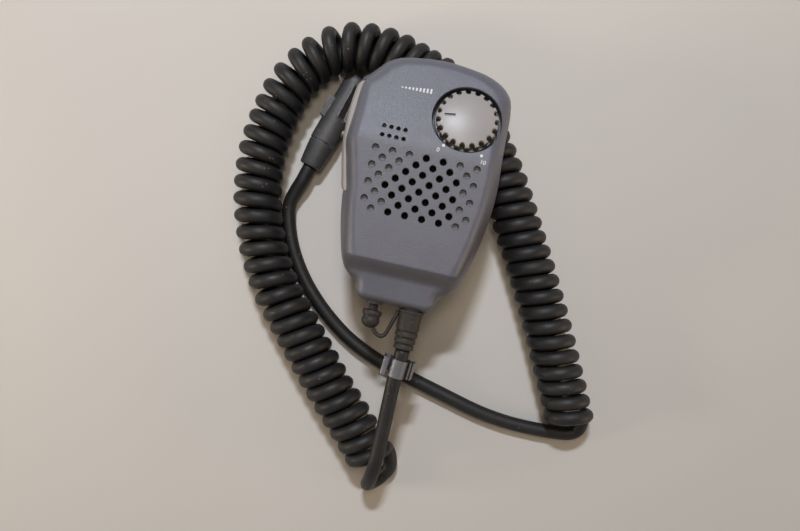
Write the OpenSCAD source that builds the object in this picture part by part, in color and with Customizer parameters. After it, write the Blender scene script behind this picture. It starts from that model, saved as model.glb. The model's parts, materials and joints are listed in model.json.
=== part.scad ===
// Hand speaker microphone: a two-shell housing with a volume knob, a press-to-talk bar, three top keys,
// a lock slider, a capped earphone socket, a swivelling spring clip and a curly cord with a two-pin plug.
// +X is the right side, +Y the top edge, +Z the front. The clip's foot lies in the plane z = 0, and the
// Z axis is the clip's swivel axis.

/* [Housing] */
// Greatest width of the housing, measured across the right flank and its mirror image
case_w = 51.8; // [48:0.1:56]
// Distance from the swivel axis up to the top edge
case_top = 45; // [42:0.1:50]
// Distance from the swivel axis down to the end of the neck
case_bottom = 39.75; // [36:0.05:44]
// Height of the widest place above the swivel axis
widest_y = 5.5; // [3:0.1:8]
// Height of the flat front above the table
front_z = 38.7; // [37:0.1:42]
// Height of the seam between the two shells
seam_z = 27; // [26.5:0.1:27.5]
// Height of the flat back above the table
back_z = 18; // [17.9:0.1:18.5]
// Wall of both shells
wall = 2; // [1.6:0.1:2.3]
// Radius of the long front edges, seen from the front
edge_r = 6; // [5:0.1:6.5]
// How far the housing swells out behind the press-to-talk bar
flank_swell = 2.4; // [1.5:0.1:2.4]
// Slope of the upper front
slope_angle = 15; // [12:0.5:17]
// Height above the swivel axis where the slope starts to bend
slope_from = 11; // [10.5:0.1:12]
// Length of the bend between the flat front and the slope
slope_bend = 6; // [4:0.1:8]

/* [Neck] */
// Width of the neck where it leaves the shoulders
neck_w = 28.4; // [27:0.1:30]
// Length of the neck
neck_len = 6.15; // [5.5:0.05:7]
// Height of the neck's front face above the table
neck_z = 33.4; // [32.5:0.1:34.5]
// Distance from the swivel axis down to the chin's upper edge
chin_y = 25.6; // [24:0.1:26]
// Length of the chin ramp, down to the neck
chin_ramp = 4.8; // [4:0.1:6]

/* [Grille] */
// Diameter of the holes
grille_hole = 2.3; // [1.8:0.1:2.6]
// Distance between staggered columns, and between rows
grille_pitch = 2.8; // [2.7:0.05:2.9]
// Number of rows
grille_rows = 8; // [6:1:8]
// Number of holes in the wider rows
grille_cols = 7; // [5:1:7]
// Depth of the blind holes
blind_depth = 1.2; // [0.8:0.1:1.4]
// Diameter of the microphone holes
mic_hole = 1.4; // [1.0:0.1:1.6]
// Distance between microphone holes in a row
mic_pitch = 2.35; // [2.2:0.05:2.5]
// Distance between the two rows of microphone holes
mic_row_gap = 3.1; // [2.8:0.1:3.4]
// Distance of the microphone to the left of the swivel axis
mic_x = 12.1; // [11.8:0.1:12.6]
// Height of the microphone above the swivel axis
mic_y = 15.95; // [15.8:0.05:16.6]

/* [Speaker] */
// Diameter of the loudspeaker
speaker_d = 28; // [26:0.5:28.5]
// Depth of the loudspeaker's basket
speaker_depth = 4.4; // [3.8:0.1:4.8]
// Diameter of the loudspeaker's magnet
magnet_d = 14; // [12:0.5:16]
// Depth of the magnet behind the basket
magnet_depth = 3; // [2:0.1:3.4]
// Thickness of the dust cloth in front of the loudspeaker
cloth_t = 0.4; // [0.3:0.1:0.6]

/* [Volume] */
// Distance of the knob's axis to the right of the swivel axis
knob_x = 10.4; // [9.6:0.1:10.4]
// Distance of the knob's axis above the swivel axis
knob_y = 25.6; // [25.2:0.1:26]
// Diameter of the knob's flange
knob_d = 21.2; // [19:0.1:21.4]
// Diameter of the recess around the knob
recess_d = 23.1; // [22.5:0.1:23.2]
// Depth of the recess at the knob's axis
recess_depth = 3.3; // [2.6:0.1:3.6]
// Height of the knob's middle above the slope
knob_rise = 2.1; // [1.5:0.1:3]
// Number of finger notches
knob_notches = 19; // [15:1:20]
// Diameter of a finger notch
notch_d = 1.9; // [1.5:0.1:2.1]
// Diameter of the potentiometer's shaft
shaft_d = 6; // [5:0.1:6.4]
// Diameter of the potentiometer's body
pot_d = 14; // [12:0.5:15]
// Depth of the potentiometer's body
pot_depth = 4.4; // [4:0.1:4.6]

/* [Press-to-talk bar] */
// How far the bar stands out of the flank
bar_proud = 1.3; // [1.3:0.1:2.2]
// Height of the bar, from back to front
bar_h = 8.6; // [8:0.1:9]
// Travel of the bar
bar_travel = 1.2; // [0.8:0.1:1.25]

/* [Keys and lock] */
// Width of a top key
key_w = 6.4; // [5.5:0.1:7]
// Height of a top key, from back to front
key_h = 4.4; // [4:0.1:4.6]
// Distance between the keys
key_pitch = 9.5; // [9:0.1:10]
// How far the middle key lies to the right of the swivel axis
key_x = 1.9; // [1:0.1:2.2]
// How far a key's face stands out of the top edge
key_proud = 0.2; // [0.1:0.1:0.6]
// Travel of a key
key_travel = 0.5; // [0.3:0.1:0.6]
// Travel of the lock slider
lock_travel = 3; // [2:0.1:3.5]
// Height of the lock slider above the swivel axis
lock_y = 31; // [30:0.1:32]

/* [Socket and cord] */
// Diameter of the cord
cord_d = 5; // [4.8:0.1:5.2]
// Distance of the cord's exit to the right of the swivel axis
cord_x = 6.4; // [6:0.1:6.6]
// Diameter of the strain relief's barrel
relief_d = 7.6; // [7:0.1:8]
// Length of the strain relief outside the neck
relief_len = 13.6; // [12:0.1:14.5]
// Distance of the earphone socket to the left of the swivel axis
jack_x = 6.5; // [6.2:0.1:7]
// Bore of the earphone socket
jack_bore = 3.5; // [3.4:0.05:3.6]
// How far the rubber cap is drawn out of its socket
cap_out = 2.4; // [1.5:0.1:3]
// Outer diameter of the curly cord
curl_d = 17.6; // [17:0.1:17.6]

/* [Clip] */
// Width of the clip's base plate
clip_w = 18; // [17:0.5:18.5]
// Reach of the clip's jaw below the swivel axis
clip_reach = 20; // [18:0.5:20.5]
// Reach of the clip's finger tab above the swivel axis
clip_tab = 18.5; // [17:0.5:19]
// Thickness of the clip's sheet metal
sheet_t = 1.2; // [1:0.1:1.4]
// Diameter of the clip's hinge pin
hinge_d = 2.5; // [2:0.1:3]
// Height of the hinge pin above the table
hinge_z = 8; // [7.5:0.1:8.5]
// Diameter of the swivel rivet
rivet_d = 5; // [4:0.1:5.5]

/* [Plug] */
// Length of the plug's body
plug_body_len = 28; // [27:0.5:29]
// Length of the plug's sleeve
plug_sleeve_len = 10; // [8:0.5:10]
// Width of the plug's body at the sleeve
plug_w = 9.2; // [8.8:0.1:9.4]
// Diameter of the larger pin
pin_large_d = 3.5; // [3.4:0.05:3.6]
// Diameter of the smaller pin
pin_small_d = 2.5; // [2.4:0.05:2.6]
// Distance between the pins
pin_pitch = 11.4; // [11:0.1:11.8]

/* [Hidden] */
$fn = 48;
fit = 0.05;        // running clearance of a shaft or pin, on the radius
gap = 0.3;         // clearance round a moving piece
eps = 0.01;

// ---- housing ----
half_w = case_w / 2;
shoulder_y = -case_bottom + neck_len;
neck_half = neck_w / 2;
top_edge_r = 4;    // edge radius along the top
neck_edge_r = 2.8; // edge radius round the neck's end
front_h = front_z - seam_z;
back_h = seam_z - back_z;
rear_edge = 0.8;   // share of the front edge radius that the rear edges have

// Stations from the top down: [y, right half width, left half width, front edge radius]
stations = [
    [case_top, 0, 0, top_edge_r],
    [case_top - 1, half_w - 15.4, half_w - 15.4, top_edge_r],
    [case_top - 2.2, half_w - 10.1, half_w - 10.1, top_edge_r + 0.6],
    [case_top - 4.3, half_w - 5.8, half_w - 6.2, edge_r - 0.8],
    [case_top - 7, half_w - 3, half_w - 3.9, edge_r],
    [case_top - 9.4, half_w - 1.9, half_w - 4 + flank_swell, edge_r],
    [case_top - 11.6, half_w - 1.5, half_w - 2.3 + flank_swell, edge_r],
    [case_top - 15, half_w - 1.1, half_w - 1.2 + flank_swell, edge_r],
    [case_top - 24, half_w - 0.8, half_w - 0.9 + flank_swell, edge_r],
    [widest_y + 8, half_w - 0.4, half_w - 0.4 + flank_swell, edge_r],
    [widest_y + 4.5, half_w - 0.15, half_w - 0.5 + flank_swell, edge_r],
    [widest_y, half_w, half_w - 1.4 + flank_swell, edge_r],
    [widest_y - 5, half_w - 0.1, half_w - 0.2, edge_r],
    [widest_y - 9.5, half_w - 0.45, half_w - 0.7, edge_r],
    [shoulder_y + 26.1, half_w - 0.9, half_w - 0.95, edge_r],
    [shoulder_y + 19.2, half_w - 2, half_w - 2, edge_r],
    [shoulder_y + 12.1, half_w - 3.6, half_w - 3.6, edge_r],
    [shoulder_y + 6.8, half_w - 5.1, half_w - 5.1, edge_r],
    [shoulder_y + 3.6, half_w - 6.7, half_w - 6.7, edge_r],
    [shoulder_y + 1.3, half_w - 8.8, half_w - 8.8, edge_r - 0.8],
    [shoulder_y, neck_half + 0.7, neck_half + 0.7, neck_edge_r + 1.4],
    [shoulder_y - 1.6, neck_half - 0.1, neck_half - 0.1, neck_edge_r + 1],
    [shoulder_y - 3.8, neck_half - 0.6, neck_half - 0.6, neck_edge_r + 0.4],
    [shoulder_y - 5.5, neck_half - 2, neck_half - 2, neck_edge_r],
    [-case_bottom, neck_half - 4.4, neck_half - 4.4, neck_edge_r],
    [-case_bottom, 0, 0, neck_edge_r]];
last_station = len(stations) - 1;
station_steps = 2;

function clamp(i, low, high) = min(max(i, low), high);
function station(i) = i < 0 ? [for (k = [0:3]) stations[1][k] * (k == 1 || k == 2 ? -1 : 1)]
    : i > last_station ? [for (k = [0:3]) stations[last_station - 1][k] * (k == 1 || k == 2 ? -1 : 1)]
    : stations[i];
function spline(a, b, c, d, t) = 0.5 * (2 * b + (c - a) * t + (2 * a - 5 * b + 4 * c - d) * t * t
    + (3 * b - a - 3 * c + d) * t * t * t);
station_line = [for (i = [0:last_station - 1], s = [0:station_steps - 1])
    spline(station(i - 1), station(i), station(i + 1), station(i + 2), s / station_steps),
    stations[last_station]];
lines = len(station_line) - 1;
ring_n = 2 * lines;
// Closed outline, down the right side and up the left: [x, y, edge radius]
outline = [for (j = [0:ring_n - 1]) let (s = station_line[j <= lines ? j : ring_n - j])
    [j <= lines ? s[1] : -s[2], s[0], s[3]]];

function xy(p) = [p[0], p[1]];
function unit(v) = v / max(norm(v), eps);
// Inward normal of the outline at point j
function inward(j) = let (d = unit(xy(outline[(j + 1) % ring_n]) - xy(outline[(j + ring_n - 1) % ring_n])))
    [d[1], -d[0]];
// Height of the front and of the back above the seam, at height y on the housing
function slope_drop(y) = let (u = y - slope_from)
    u <= 0 ? 0 : tan(slope_angle) * (u < slope_bend ? u * u / (2 * slope_bend) : u - slope_bend / 2);
function chin_drop(y) = (front_z - neck_z) * clamp((-chin_y - y) / chin_ramp, 0, 1);
function front_rise(y) = front_h - slope_drop(y) - chin_drop(y);
function slope_z(y) = front_z - slope_drop(y);

// One half of the housing as a solid, standing on the seam plane; inset shrinks it on every side
module housing_half(is_front, inset, rings) {
    shape = [for (k = [0:rings], j = [0:ring_n - 1])
        let (p = outline[j], r = max((is_front ? p[2] : p[2] * rear_edge) - inset, 0.6),
            turn = 90 * k / rings, n = inward(j), q = xy(p) + n * (inset + r * (1 - cos(turn))),
            rise = (is_front ? front_rise(q[1]) : back_h) - inset)
        [q[0], q[1], rise * sin(turn)]];
    sides = [for (k = [0:rings - 1], j = [0:ring_n - 1])
        let (a = k * ring_n + j, b = k * ring_n + (j + 1) % ring_n)
        each [[a, b, b + ring_n], [a, b + ring_n, a + ring_n]]];
    top = rings * ring_n;
    cap = [for (j = [0:lines - 1]) let (a = top + j, b = top + j + 1,
            c = top + (ring_n - j - 1) % ring_n, d = top + (ring_n - j) % ring_n)
        each (j == 0 ? [[a, b, c]] : j == lines - 1 ? [[a, b, d]] : [[a, b, c], [a, c, d]])];
    floor_face = [[for (j = [ring_n - 1:-1:0]) j]];
    polyhedron(shape, concat(sides, cap, floor_face), convexity = 6);
}
module front_half(inset = 0, rings = 6) { translate([0, 0, seam_z]) housing_half(true, inset, rings); }
module rear_half(inset = 0, rings = 5) {
    translate([0, 0, seam_z]) mirror([0, 0, 1]) housing_half(false, inset, rings);
}

// A closed solid through rings of points with flat ends
module loft(rings) {
    n = len(rings[0]);
    m = len(rings);
    sides = [for (k = [0:m - 2], j = [0:n - 1])
        let (a = k * n + j, b = k * n + (j + 1) % n)
        each [[a, b + n, b], [a, a + n, b + n]]];
    ends = [[for (j = [0:n - 1]) j], [for (j = [n - 1:-1:0]) (m - 1) * n + j]];
    polyhedron([for (r = rings) each r], concat(sides, ends), convexity = 6);
}
// A tube of diameter d along a list of points
function along(p, i) = unit(p[min(i + 1, len(p) - 1)] - p[max(i - 1, 0)]);
function carried(v, t) = unit(v - t * (v * t));
module tube(path, d, sides = 10) {
    across = [for (i = 0, v = carried([0, 0, 1], along(path, 0)); i < len(path);
        i = i + 1, v = i < len(path) ? carried(v, along(path, i)) : v) v];
    loft([for (i = [0:len(path) - 1]) let (t = along(path, i), u = across[i], w = cross(t, u))
        [for (j = [0:sides - 1]) path[i] + (u * cos(360 * j / sides) + w * sin(360 * j / sides)) * d / 2]]);
}
module y_cylinder(d, from_y, to_y) {
    translate([0, to_y, 0]) rotate([90, 0, 0]) cylinder(d = d, h = to_y - from_y);
}
module x_cylinder(d, from_x, to_x) {
    translate([from_x, 0, 0]) rotate([0, 90, 0]) cylinder(d = d, h = to_x - from_x);
}
module block(low, high) { translate(low) cube(high - low); }

// ---- places inside the housing ----
front_inner_z = front_z - wall;
floor_z = back_z + wall + eps;
standoff = 2.4;
board_t = 1.2;
board_z = floor_z + standoff;
board_top = board_z + board_t;
post_d = 6;
screw_d = 2.2;
screw_head_d = 4.6;
screw_head_h = 1.5;
screw_bite = 6;
screws = [[-(half_w - 7.4), case_top - 12], [half_w - 5.6, widest_y + 3],
    [-(half_w - 9.4), -chin_y], [half_w - 9.4, -chin_y]];
module at_screws() { for (s = screws) translate([s[0], s[1], 0]) children(); }

// ---- grille ----
speaker_x = 0.3 * grille_pitch;
speaker_y = -0.7 * grille_pitch;
speaker_z = front_inner_z - cloth_t;
sound_r = speaker_d / 2 - 1.2;   // holes inside this radius go right through
module grille_holes() {
    for (row = [0:grille_rows - 1], col = [0:grille_cols - 1 - row % 2]) {
        x = (2 * col + row % 2 - (grille_cols - 1)) * grille_pitch;
        y = ((grille_rows - 1) / 2 - row) * grille_pitch;
        deep = norm([x - speaker_x, y - speaker_y]) < sound_r ? wall + 1 : blind_depth;
        translate([x, y, front_z - deep]) cylinder(d = grille_hole, h = deep + 1, $fn = 24);
    }
}
module at_mic() { translate([-mic_x, mic_y, 0]) children(); }
module mic_holes() {
    at_mic() for (col = [0:3], side = [-0.5, 0.5])
        translate([(col - 1.5) * mic_pitch, side * mic_row_gap, mic_seat_z - 1])
            cylinder(d = mic_hole, h = front_z - mic_seat_z + 2, $fn = 20);
}
capsule_d = 6;
boot_d = capsule_d + 2.4;
boot_h = 4.6;
mic_seat_z = slope_z(mic_y + boot_d / 2) - wall;
rib_t = 1.2;     // thickness of the locating rings and ribs

// ---- volume control ----
cup_floor = 1.5;
cup_z = -(recess_depth + cup_floor);
shaft_top = -0.6;
module on_slope() { translate([knob_x, knob_y, slope_z(knob_y)]) rotate([-slope_angle, 0, 0]) children(); }

// ---- press-to-talk bar ----
bar_x = half_w - 0.4 + flank_swell + bar_proud;  // outermost face
bar_top = 32;
bar_kink = widest_y + 5.5;
bar_bottom = -5.2;
flange_x = half_w - 3.7;                         // inner face of the bar's flange
flange_t = 1.2;
bar_outer = [[-(half_w - 0.9), bar_bottom], [-(half_w + 0.7), bar_bottom + 1.7], [-bar_x, bar_kink],
    [-bar_x, bar_kink + 9], [-(bar_x - 0.4), bar_kink + 15], [-(bar_x - 1.1), bar_top - 0.6],
    [-(bar_x - 2.6), bar_top]];
module bar_window() {
    block([-bar_x - 5, bar_bottom - gap, seam_z - bar_h / 2 - gap],
        [-(flange_x - 2), bar_top + gap, seam_z + bar_h / 2 + gap]);
}

// ---- keys and lock ----
key_z = floor_z + 3.6;
key_flange = 0.8;
key_lip = 0.6;
key_depth = 10.4;        // of the keys' board below the top edge
key_reach = 5.2;         // of the board past the outer keys
top_arc_r = (pow(half_w - 10.1, 2) + pow(2.2, 2)) / (2 * 2.2);
// Inner face of the top wall as deep as the keys' flanges reach, from the middle outwards
flange_turn = asin(min((seam_z - key_z + key_h / 2 + key_lip) / (back_h - wall), 1));
top_wall = [for (j = [0:4 * station_steps]) let (p = outline[j])
    xy(p) + inward(j) * (wall + (rear_edge * p[2] - wall) * (1 - cos(flange_turn)))];
// Front face of a key's flange, just inside the wall at the key's outer corner
function key_seat(x) = lookup(abs(x) + key_w / 2 + key_flange, top_wall) - gap;
keys_x = [key_x - key_pitch, key_x, key_x + key_pitch];
key_board_y = case_top - key_depth;
module key_window(x) {
    block([x - key_w / 2 - gap, key_seat(x), key_z - key_h / 2 - gap],
        [x + key_w / 2 + gap, case_top + 5, key_z + key_h / 2 + gap]);
}
lock_knob = [4, 2.6];
lock_window = [lock_knob[0] + lock_travel + 2 * gap, lock_knob[1] + 2 * gap];

// ---- socket and strain relief ----
neck_inner_y = -case_bottom + 1.5 * wall;
relief_neck_d = relief_d - 1;
bush_d = jack_bore + 2.1;
bush_end = -(case_bottom + 0.4);
module at_relief() { translate([cord_x, 0, seam_z]) children(); }
module at_jack() { translate([-jack_x, 0, seam_z]) children(); }
module neck_bores() {
    at_relief() y_cylinder(relief_neck_d + 0.2, -case_bottom - 2, neck_inner_y + 1);
    at_jack() y_cylinder(bush_d + 0.2, -case_bottom - 2, neck_inner_y + 2);
}
// What lies above the neck's end wall
module above_neck_wall() { block([-case_w, neck_inner_y, 0], [case_w, case_top, front_z + 1]); }

// ---- front shell ----
module front_bosses() {
    translate([speaker_x, speaker_y, speaker_z - speaker_depth])
        cylinder(d = speaker_d + 2 * fit + 2 * rib_t, h = speaker_depth + cloth_t + wall / 2);
    at_mic() translate([0, 0, mic_seat_z - boot_h])
        cylinder(d = boot_d + 2 * fit + 2 * rib_t, h = front_z - mic_seat_z + boot_h);
    for (s = screws) translate([s[0], s[1], seam_z])
        cylinder(d = post_d - 1, h = front_rise(s[1]) - wall / 2);
    on_slope() translate([0, 0, cup_z]) cylinder(d = recess_d + 2 * rib_t, h = -cup_z - 0.6);
}
module front_case() {
    color([0.44, 0.45, 0.49]) difference() {
        union() {
            difference() {
                front_half();
                intersection() {
                    translate([0, 0, -eps]) front_half(wall, 4);
                    above_neck_wall();
                }
            }
            intersection() {
                front_half(wall / 4);
                front_bosses();
            }
        }
        translate([speaker_x, speaker_y, seam_z]) cylinder(d = speaker_d + 2 * fit, h = front_h - wall);
        at_mic() translate([0, 0, seam_z]) cylinder(d = boot_d + 2 * fit, h = mic_seat_z - seam_z);
        grille_holes();
        mic_holes();
        on_slope() {
            translate([0, 0, -recess_depth]) cylinder(d = recess_d, h = 12);
            translate([0, 0, cup_z - 1]) cylinder(d = shaft_d + 2 * gap, h = recess_depth);
        }
        at_screws() translate([0, 0, seam_z - 1]) cylinder(d = screw_d + 2 * fit, h = screw_bite + 2, $fn = 24);
        bar_window();
        neck_bores();
    }
}

// ---- rear shell ----
pads = [[-(half_w - 13.9), 16], [half_w - 13.9, 16], [-(half_w - 13.9), -17], [half_w - 13.9, -17]];
swivel_boss_d = 14;
swivel_boss_h = 1;
module rear_bosses() {
    at_screws() translate([0, 0, back_z + eps]) cylinder(d = post_d, h = back_h - eps);
    for (p = pads) translate([p[0], p[1], floor_z - wall / 2]) cylinder(d = 4, h = standoff + wall / 2);
}
module rear_case() {
    color([0.42, 0.43, 0.47]) difference() {
        union() {
            difference() {
                rear_half();
                intersection() {
                    translate([0, 0, eps]) rear_half(wall, 4);
                    above_neck_wall();
                }
            }
            intersection() {
                rear_half(wall / 4);
                rear_bosses();
            }
            translate([0, 0, back_z - swivel_boss_h]) cylinder(d = swivel_boss_d, h = swivel_boss_h + wall / 2);
        }
        at_screws() {
            translate([0, 0, back_z - 1]) cylinder(d = screw_head_d + 0.4, h = floor_z - back_z + 1, $fn = 32);
            translate([0, 0, back_z - 1]) cylinder(d = screw_d + 0.4, h = back_h + 2, $fn = 24);
        }
        translate([0, 0, back_z - 3]) cylinder(d = rivet_d + 2 * fit, h = wall + 6);
        for (x = keys_x) key_window(x);
        translate([0, lock_y, back_z]) cube([lock_window[0], lock_window[1], 3 * wall], center = true);
        bar_window();
        neck_bores();
    }
}
module case_screws() {
    color([0.35, 0.35, 0.36]) at_screws() difference() {
        union() {
            translate([0, 0, floor_z - screw_head_h]) cylinder(d = screw_head_d, h = screw_head_h, $fn = 32);
            translate([0, 0, floor_z - eps]) cylinder(d = screw_d, h = back_h - wall + screw_bite, $fn = 24);
        }
        for (turn = [0, 90]) rotate(turn)
            translate([0, 0, floor_z - screw_head_h]) cube([2.6, 0.5, 1.2], center = true);
    }
}

// ---- electronics ----
board_half = half_w - 5.1;
module circuit_board() {
    color([0.1, 0.35, 0.2]) translate([0, 0, board_z]) difference() {
        linear_extrude(board_t) polygon([
            [-board_half, 20], [board_half, 20], [board_half, -5], [board_half - 2.6, -18],
            [board_half - 5.4, shoulder_y + 6], [0, shoulder_y + 6],
            [0, neck_inner_y + 0.2], [-jack_x - 4.6, neck_inner_y + 0.2],
            [-jack_x - 4.6, shoulder_y + 6], [-board_half + 5.4, shoulder_y + 6],
            [-board_half + 2.6, -18], [-board_half, -5]]);
        at_screws() translate([0, 0, -1]) cylinder(d = post_d + 2 * gap, h = board_t + 2);
    }
}
module earphone_socket() {
    socket_h = 2 * (seam_z - board_top);
    color([0.12, 0.12, 0.13]) difference() {
        union() {
            block([-jack_x - 4, neck_inner_y + 0.1, board_top],
                [-jack_x + 4, neck_inner_y + 13, board_top + socket_h]);
            at_jack() y_cylinder(bush_d, bush_end, neck_inner_y + 2);
        }
        at_jack() y_cylinder(jack_bore, bush_end - 1, bush_end + 12);
    }
}
module volume_pot() {
    color([0.5, 0.52, 0.5]) on_slope() difference() {
        translate([0, 0, cup_z - pot_depth]) cylinder(d = pot_d, h = pot_depth);
        translate([0, 0, cup_z - 2.2]) cylinder(d = shaft_d + 2 * fit, h = 3);
    }
}
module pot_shaft() {
    color([0.6, 0.6, 0.62]) on_slope()
        translate([0, 0, cup_z - 2.1]) cylinder(d = shaft_d, h = shaft_top - cup_z + 2.1);
}
module volume_knob() {
    flange_top = -0.9;
    body_r = knob_d / 2 - 0.4;
    dome_r = 36;
    function dome_z(r) = knob_rise - dome_r + sqrt(pow(dome_r, 2) - pow(r, 2));
    notch_r = body_r - 0.45;
    notch_floor = -0.9;
    pointer_angle = 184;
    color([0.64, 0.63, 0.65]) on_slope() difference() {
        union() {
            translate([0, 0, -recess_depth + gap]) cylinder(d = knob_d, h = flange_top + recess_depth - gap);
            rotate_extrude() polygon(concat(
                [[0, gap - recess_depth], [body_r, gap - recess_depth]],
                [for (k = [8:-1:1]) [body_r * k / 8, dome_z(body_r * k / 8)]], [[0, dome_z(body_r / 8)]]));
        }
        for (n = [0:knob_notches - 1]) rotate(-90 + n * 360 / knob_notches)
            translate([notch_r, 0, notch_floor]) cylinder(d = notch_d, h = 5, $fn = 24);
        rotate(pointer_angle) block([4.1, -0.3, knob_rise - 0.8], [7.6, 0.3, knob_rise + 1]);
        translate([0, 0, -recess_depth - 1]) cylinder(d = shaft_d + 2 * fit, h = recess_depth + 1.1 + shaft_top);
    }
}

// ---- loudspeaker and microphone ----
module at_speaker() { translate([speaker_x, speaker_y, speaker_z]) children(); }
speaker_r = speaker_d / 2;
magnet_seat_r = magnet_d / 2 - 1;
module speaker_cloth() {
    color([0.05, 0.05, 0.05]) at_speaker() cylinder(d = speaker_d - 0.4, h = cloth_t);
}
module speaker_basket() {
    color([0.55, 0.56, 0.58]) at_speaker() rotate_extrude() polygon([
        [speaker_r - 1.6, 0], [speaker_r, 0], [speaker_r, -1.3], [speaker_r - 1.2, -1.3],
        [speaker_r - 4, -speaker_depth], [magnet_seat_r - 3, -speaker_depth],
        [magnet_seat_r - 3, -speaker_depth + 0.8], [speaker_r - 4.4, -speaker_depth + 0.8],
        [speaker_r - 1.6, -0.9]]);
}
module speaker_cone() {
    coil_r = 3.6;
    color([0.15, 0.15, 0.16]) at_speaker() rotate_extrude() polygon([
        [0, -2.2], [coil_r, -2.6], [speaker_r - 5, -1], [speaker_r - 3.4, -0.7], [speaker_r - 1.7, -0.8],
        [speaker_r - 1.7, -1.0], [speaker_r - 3.4, -1], [speaker_r - 5, -1.4], [coil_r, -3],
        [coil_r, -speaker_depth + 1], [coil_r - 0.4, -speaker_depth + 1], [coil_r - 0.4, -3], [0, -2.6]]);
}
module speaker_magnet() {
    color([0.3, 0.3, 0.32]) at_speaker() translate([0, 0, -speaker_depth - magnet_depth]) {
        cylinder(d = magnet_d, h = magnet_depth);
        translate([0, 0, magnet_depth - eps]) cylinder(r = magnet_seat_r - 3.3, h = 1.4);
    }
}
module mic_boot() {
    color([0.1, 0.1, 0.1]) at_mic() difference() {
        translate([0, 0, mic_seat_z - boot_h]) cylinder(d = boot_d, h = boot_h);
        translate([0, 0, mic_seat_z - 4]) cylinder(d = capsule_d + 2 * fit, h = 5);
        translate([0, 0, mic_seat_z - boot_h - 1]) cylinder(d = capsule_d - 2, h = boot_h);
    }
}
module mic_capsule() {
    color([0.7, 0.7, 0.72]) at_mic() translate([0, 0, mic_seat_z - 4]) cylinder(d = capsule_d, h = 3.4);
}

// ---- press-to-talk ----
module ptt_bar() {
    edge = 1.6;
    color([0.69, 0.68, 0.67]) {
        translate([0, 0, seam_z]) loft([for (k = [4:-1:-4])
            let (turn = 90 * k / 4, inset = edge * (1 - cos(turn)),
                z = (bar_h / 2 - edge) * sign(k) + edge * sin(turn))
            concat([for (p = bar_outer) [p[0] + inset, p[1], z]],
                [[-flange_x - flange_t / 2, bar_top, z], [-flange_x - flange_t / 2, bar_bottom, z]])]);
        block([-flange_x - flange_t, widest_y + 0.5, seam_z - bar_h / 2 - 0.8],
            [-flange_x, bar_top - 9, seam_z + bar_h / 2 + 0.8]);
    }
}
module ptt_switch() {
    tip = flange_x - bar_travel - 0.1;
    mid_y = bar_kink + 4.5;
    color([0.15, 0.15, 0.16]) {
        block([-tip + 0.6, mid_y - 3, board_top], [-tip + 4.4, mid_y + 3, board_top + 6.2]);
        translate([0, mid_y, seam_z]) x_cylinder(3.4, -tip, -tip + 1);
    }
}

// ---- keys ----
module key(n) {
    x = keys_x[n];
    seat = key_seat(x);
    color([0.2, 0.2, 0.21]) {
        intersection() {
            block([x - key_w / 2, seat - 0.5, key_z - key_h / 2],
                [x + key_w / 2, case_top + 3, key_z + key_h / 2]);
            translate([0, case_top - top_arc_r, 0])
                cylinder(r = top_arc_r + key_proud, h = 2 * key_z, $fn = 180);
        }
        block([x - key_w / 2 - key_flange, seat - 1, key_z - key_h / 2 - key_lip],
            [x + key_w / 2 + key_flange, seat, key_z + key_h / 2 + key_lip]);
    }
}
module key_left() { key(0); }
module key_middle() {
    key(1);
    color([0.2, 0.2, 0.21]) block([key_x - 1.4, case_top - 0.4, key_z - 0.6],
        [key_x + 1.4, case_top + key_proud + 0.4, key_z + 0.6]);
}
module key_right() { key(2); }
module key_board() {
    color([0.1, 0.35, 0.2])
        block([keys_x[0] - key_reach, key_board_y, floor_z],
            [keys_x[2] + key_reach, key_board_y + board_t, seam_z - 0.4]);
}
module key_switches() {
    body_t = 1.6;
    color([0.25, 0.25, 0.26]) for (x = keys_x) {
        face = key_board_y + board_t;
        tip = key_seat(x) - 1 - key_travel - 0.1;
        block([x - 2.2, face, key_z - 2.2], [x + 2.2, face + body_t, key_z + 2.2]);
        translate([x, 0, key_z]) y_cylinder(2, face + body_t - 0.2, tip);
    }
}
module lock_slider() {
    color([0.18, 0.18, 0.19]) translate([-lock_travel / 2, lock_y, 0]) {
        block([-lock_knob[0] / 2, -lock_knob[1] / 2, back_z - 0.5],
            [lock_knob[0] / 2, lock_knob[1] / 2, floor_z + 0.3]);
        block([-lock_window[0] / 2 - 1.6, -2.2, floor_z + 0.2], [lock_window[0] / 2 + 1.6, 2.2, floor_z + 1]);
    }
}
module lock_switch() {
    color([0.5, 0.5, 0.52]) block([-4.4, lock_y - 1.8, floor_z + 1.3], [4.4, key_board_y, floor_z + 4.4]);
}

// ---- rubber cap and strain relief ----
cap_face = bush_end - cap_out;
cap_stem = 11;
module socket_cap() {
    color([0.13, 0.12, 0.11]) at_jack() translate([0, cap_face, 0]) rotate([90, 0, 0])
        rotate_extrude() polygon(concat(
        [[0, -cap_stem], [jack_bore / 2 - 0.4, -cap_stem], [jack_bore / 2 - fit, 0.6 - cap_stem],
         [jack_bore / 2 - fit, 0], [3.3, 0], [3.3, 1.7], [2.7, 1.9]],
        [for (turn = [-30:20:90]) [3.1 * cos(turn), 3.6 + 2.5 * sin(turn)]]));
}
module cap_tether() {
    tail_y = cap_face - 6.2;
    ring_y = -case_bottom - 0.1;
    color([0.13, 0.12, 0.11]) {
        at_relief() difference() {
            y_cylinder(relief_d + 1.4, ring_y - 1, ring_y);
            y_cylinder(relief_d + 0.1, ring_y - 2, ring_y + 1);
        }
        translate([0, 0, seam_z]) tube([[-jack_x + 1.4, tail_y + 0.2, 0], [-4.2, tail_y - 0.9, 0],
            [-3, tail_y - 1.7, 0], [-1.8, tail_y - 1.8, 0], [-0.7, tail_y - 1, 0], [0, tail_y + 0.8, 0],
            [0.6, tail_y + 2.9, 0], [1.2, tail_y + 4.8, 0], [1.8, tail_y + 6.4, 0],
            [cord_x - relief_d / 2 - 0.75, ring_y - 0.8, 0]], 1.2, 8);
    }
}
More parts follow.
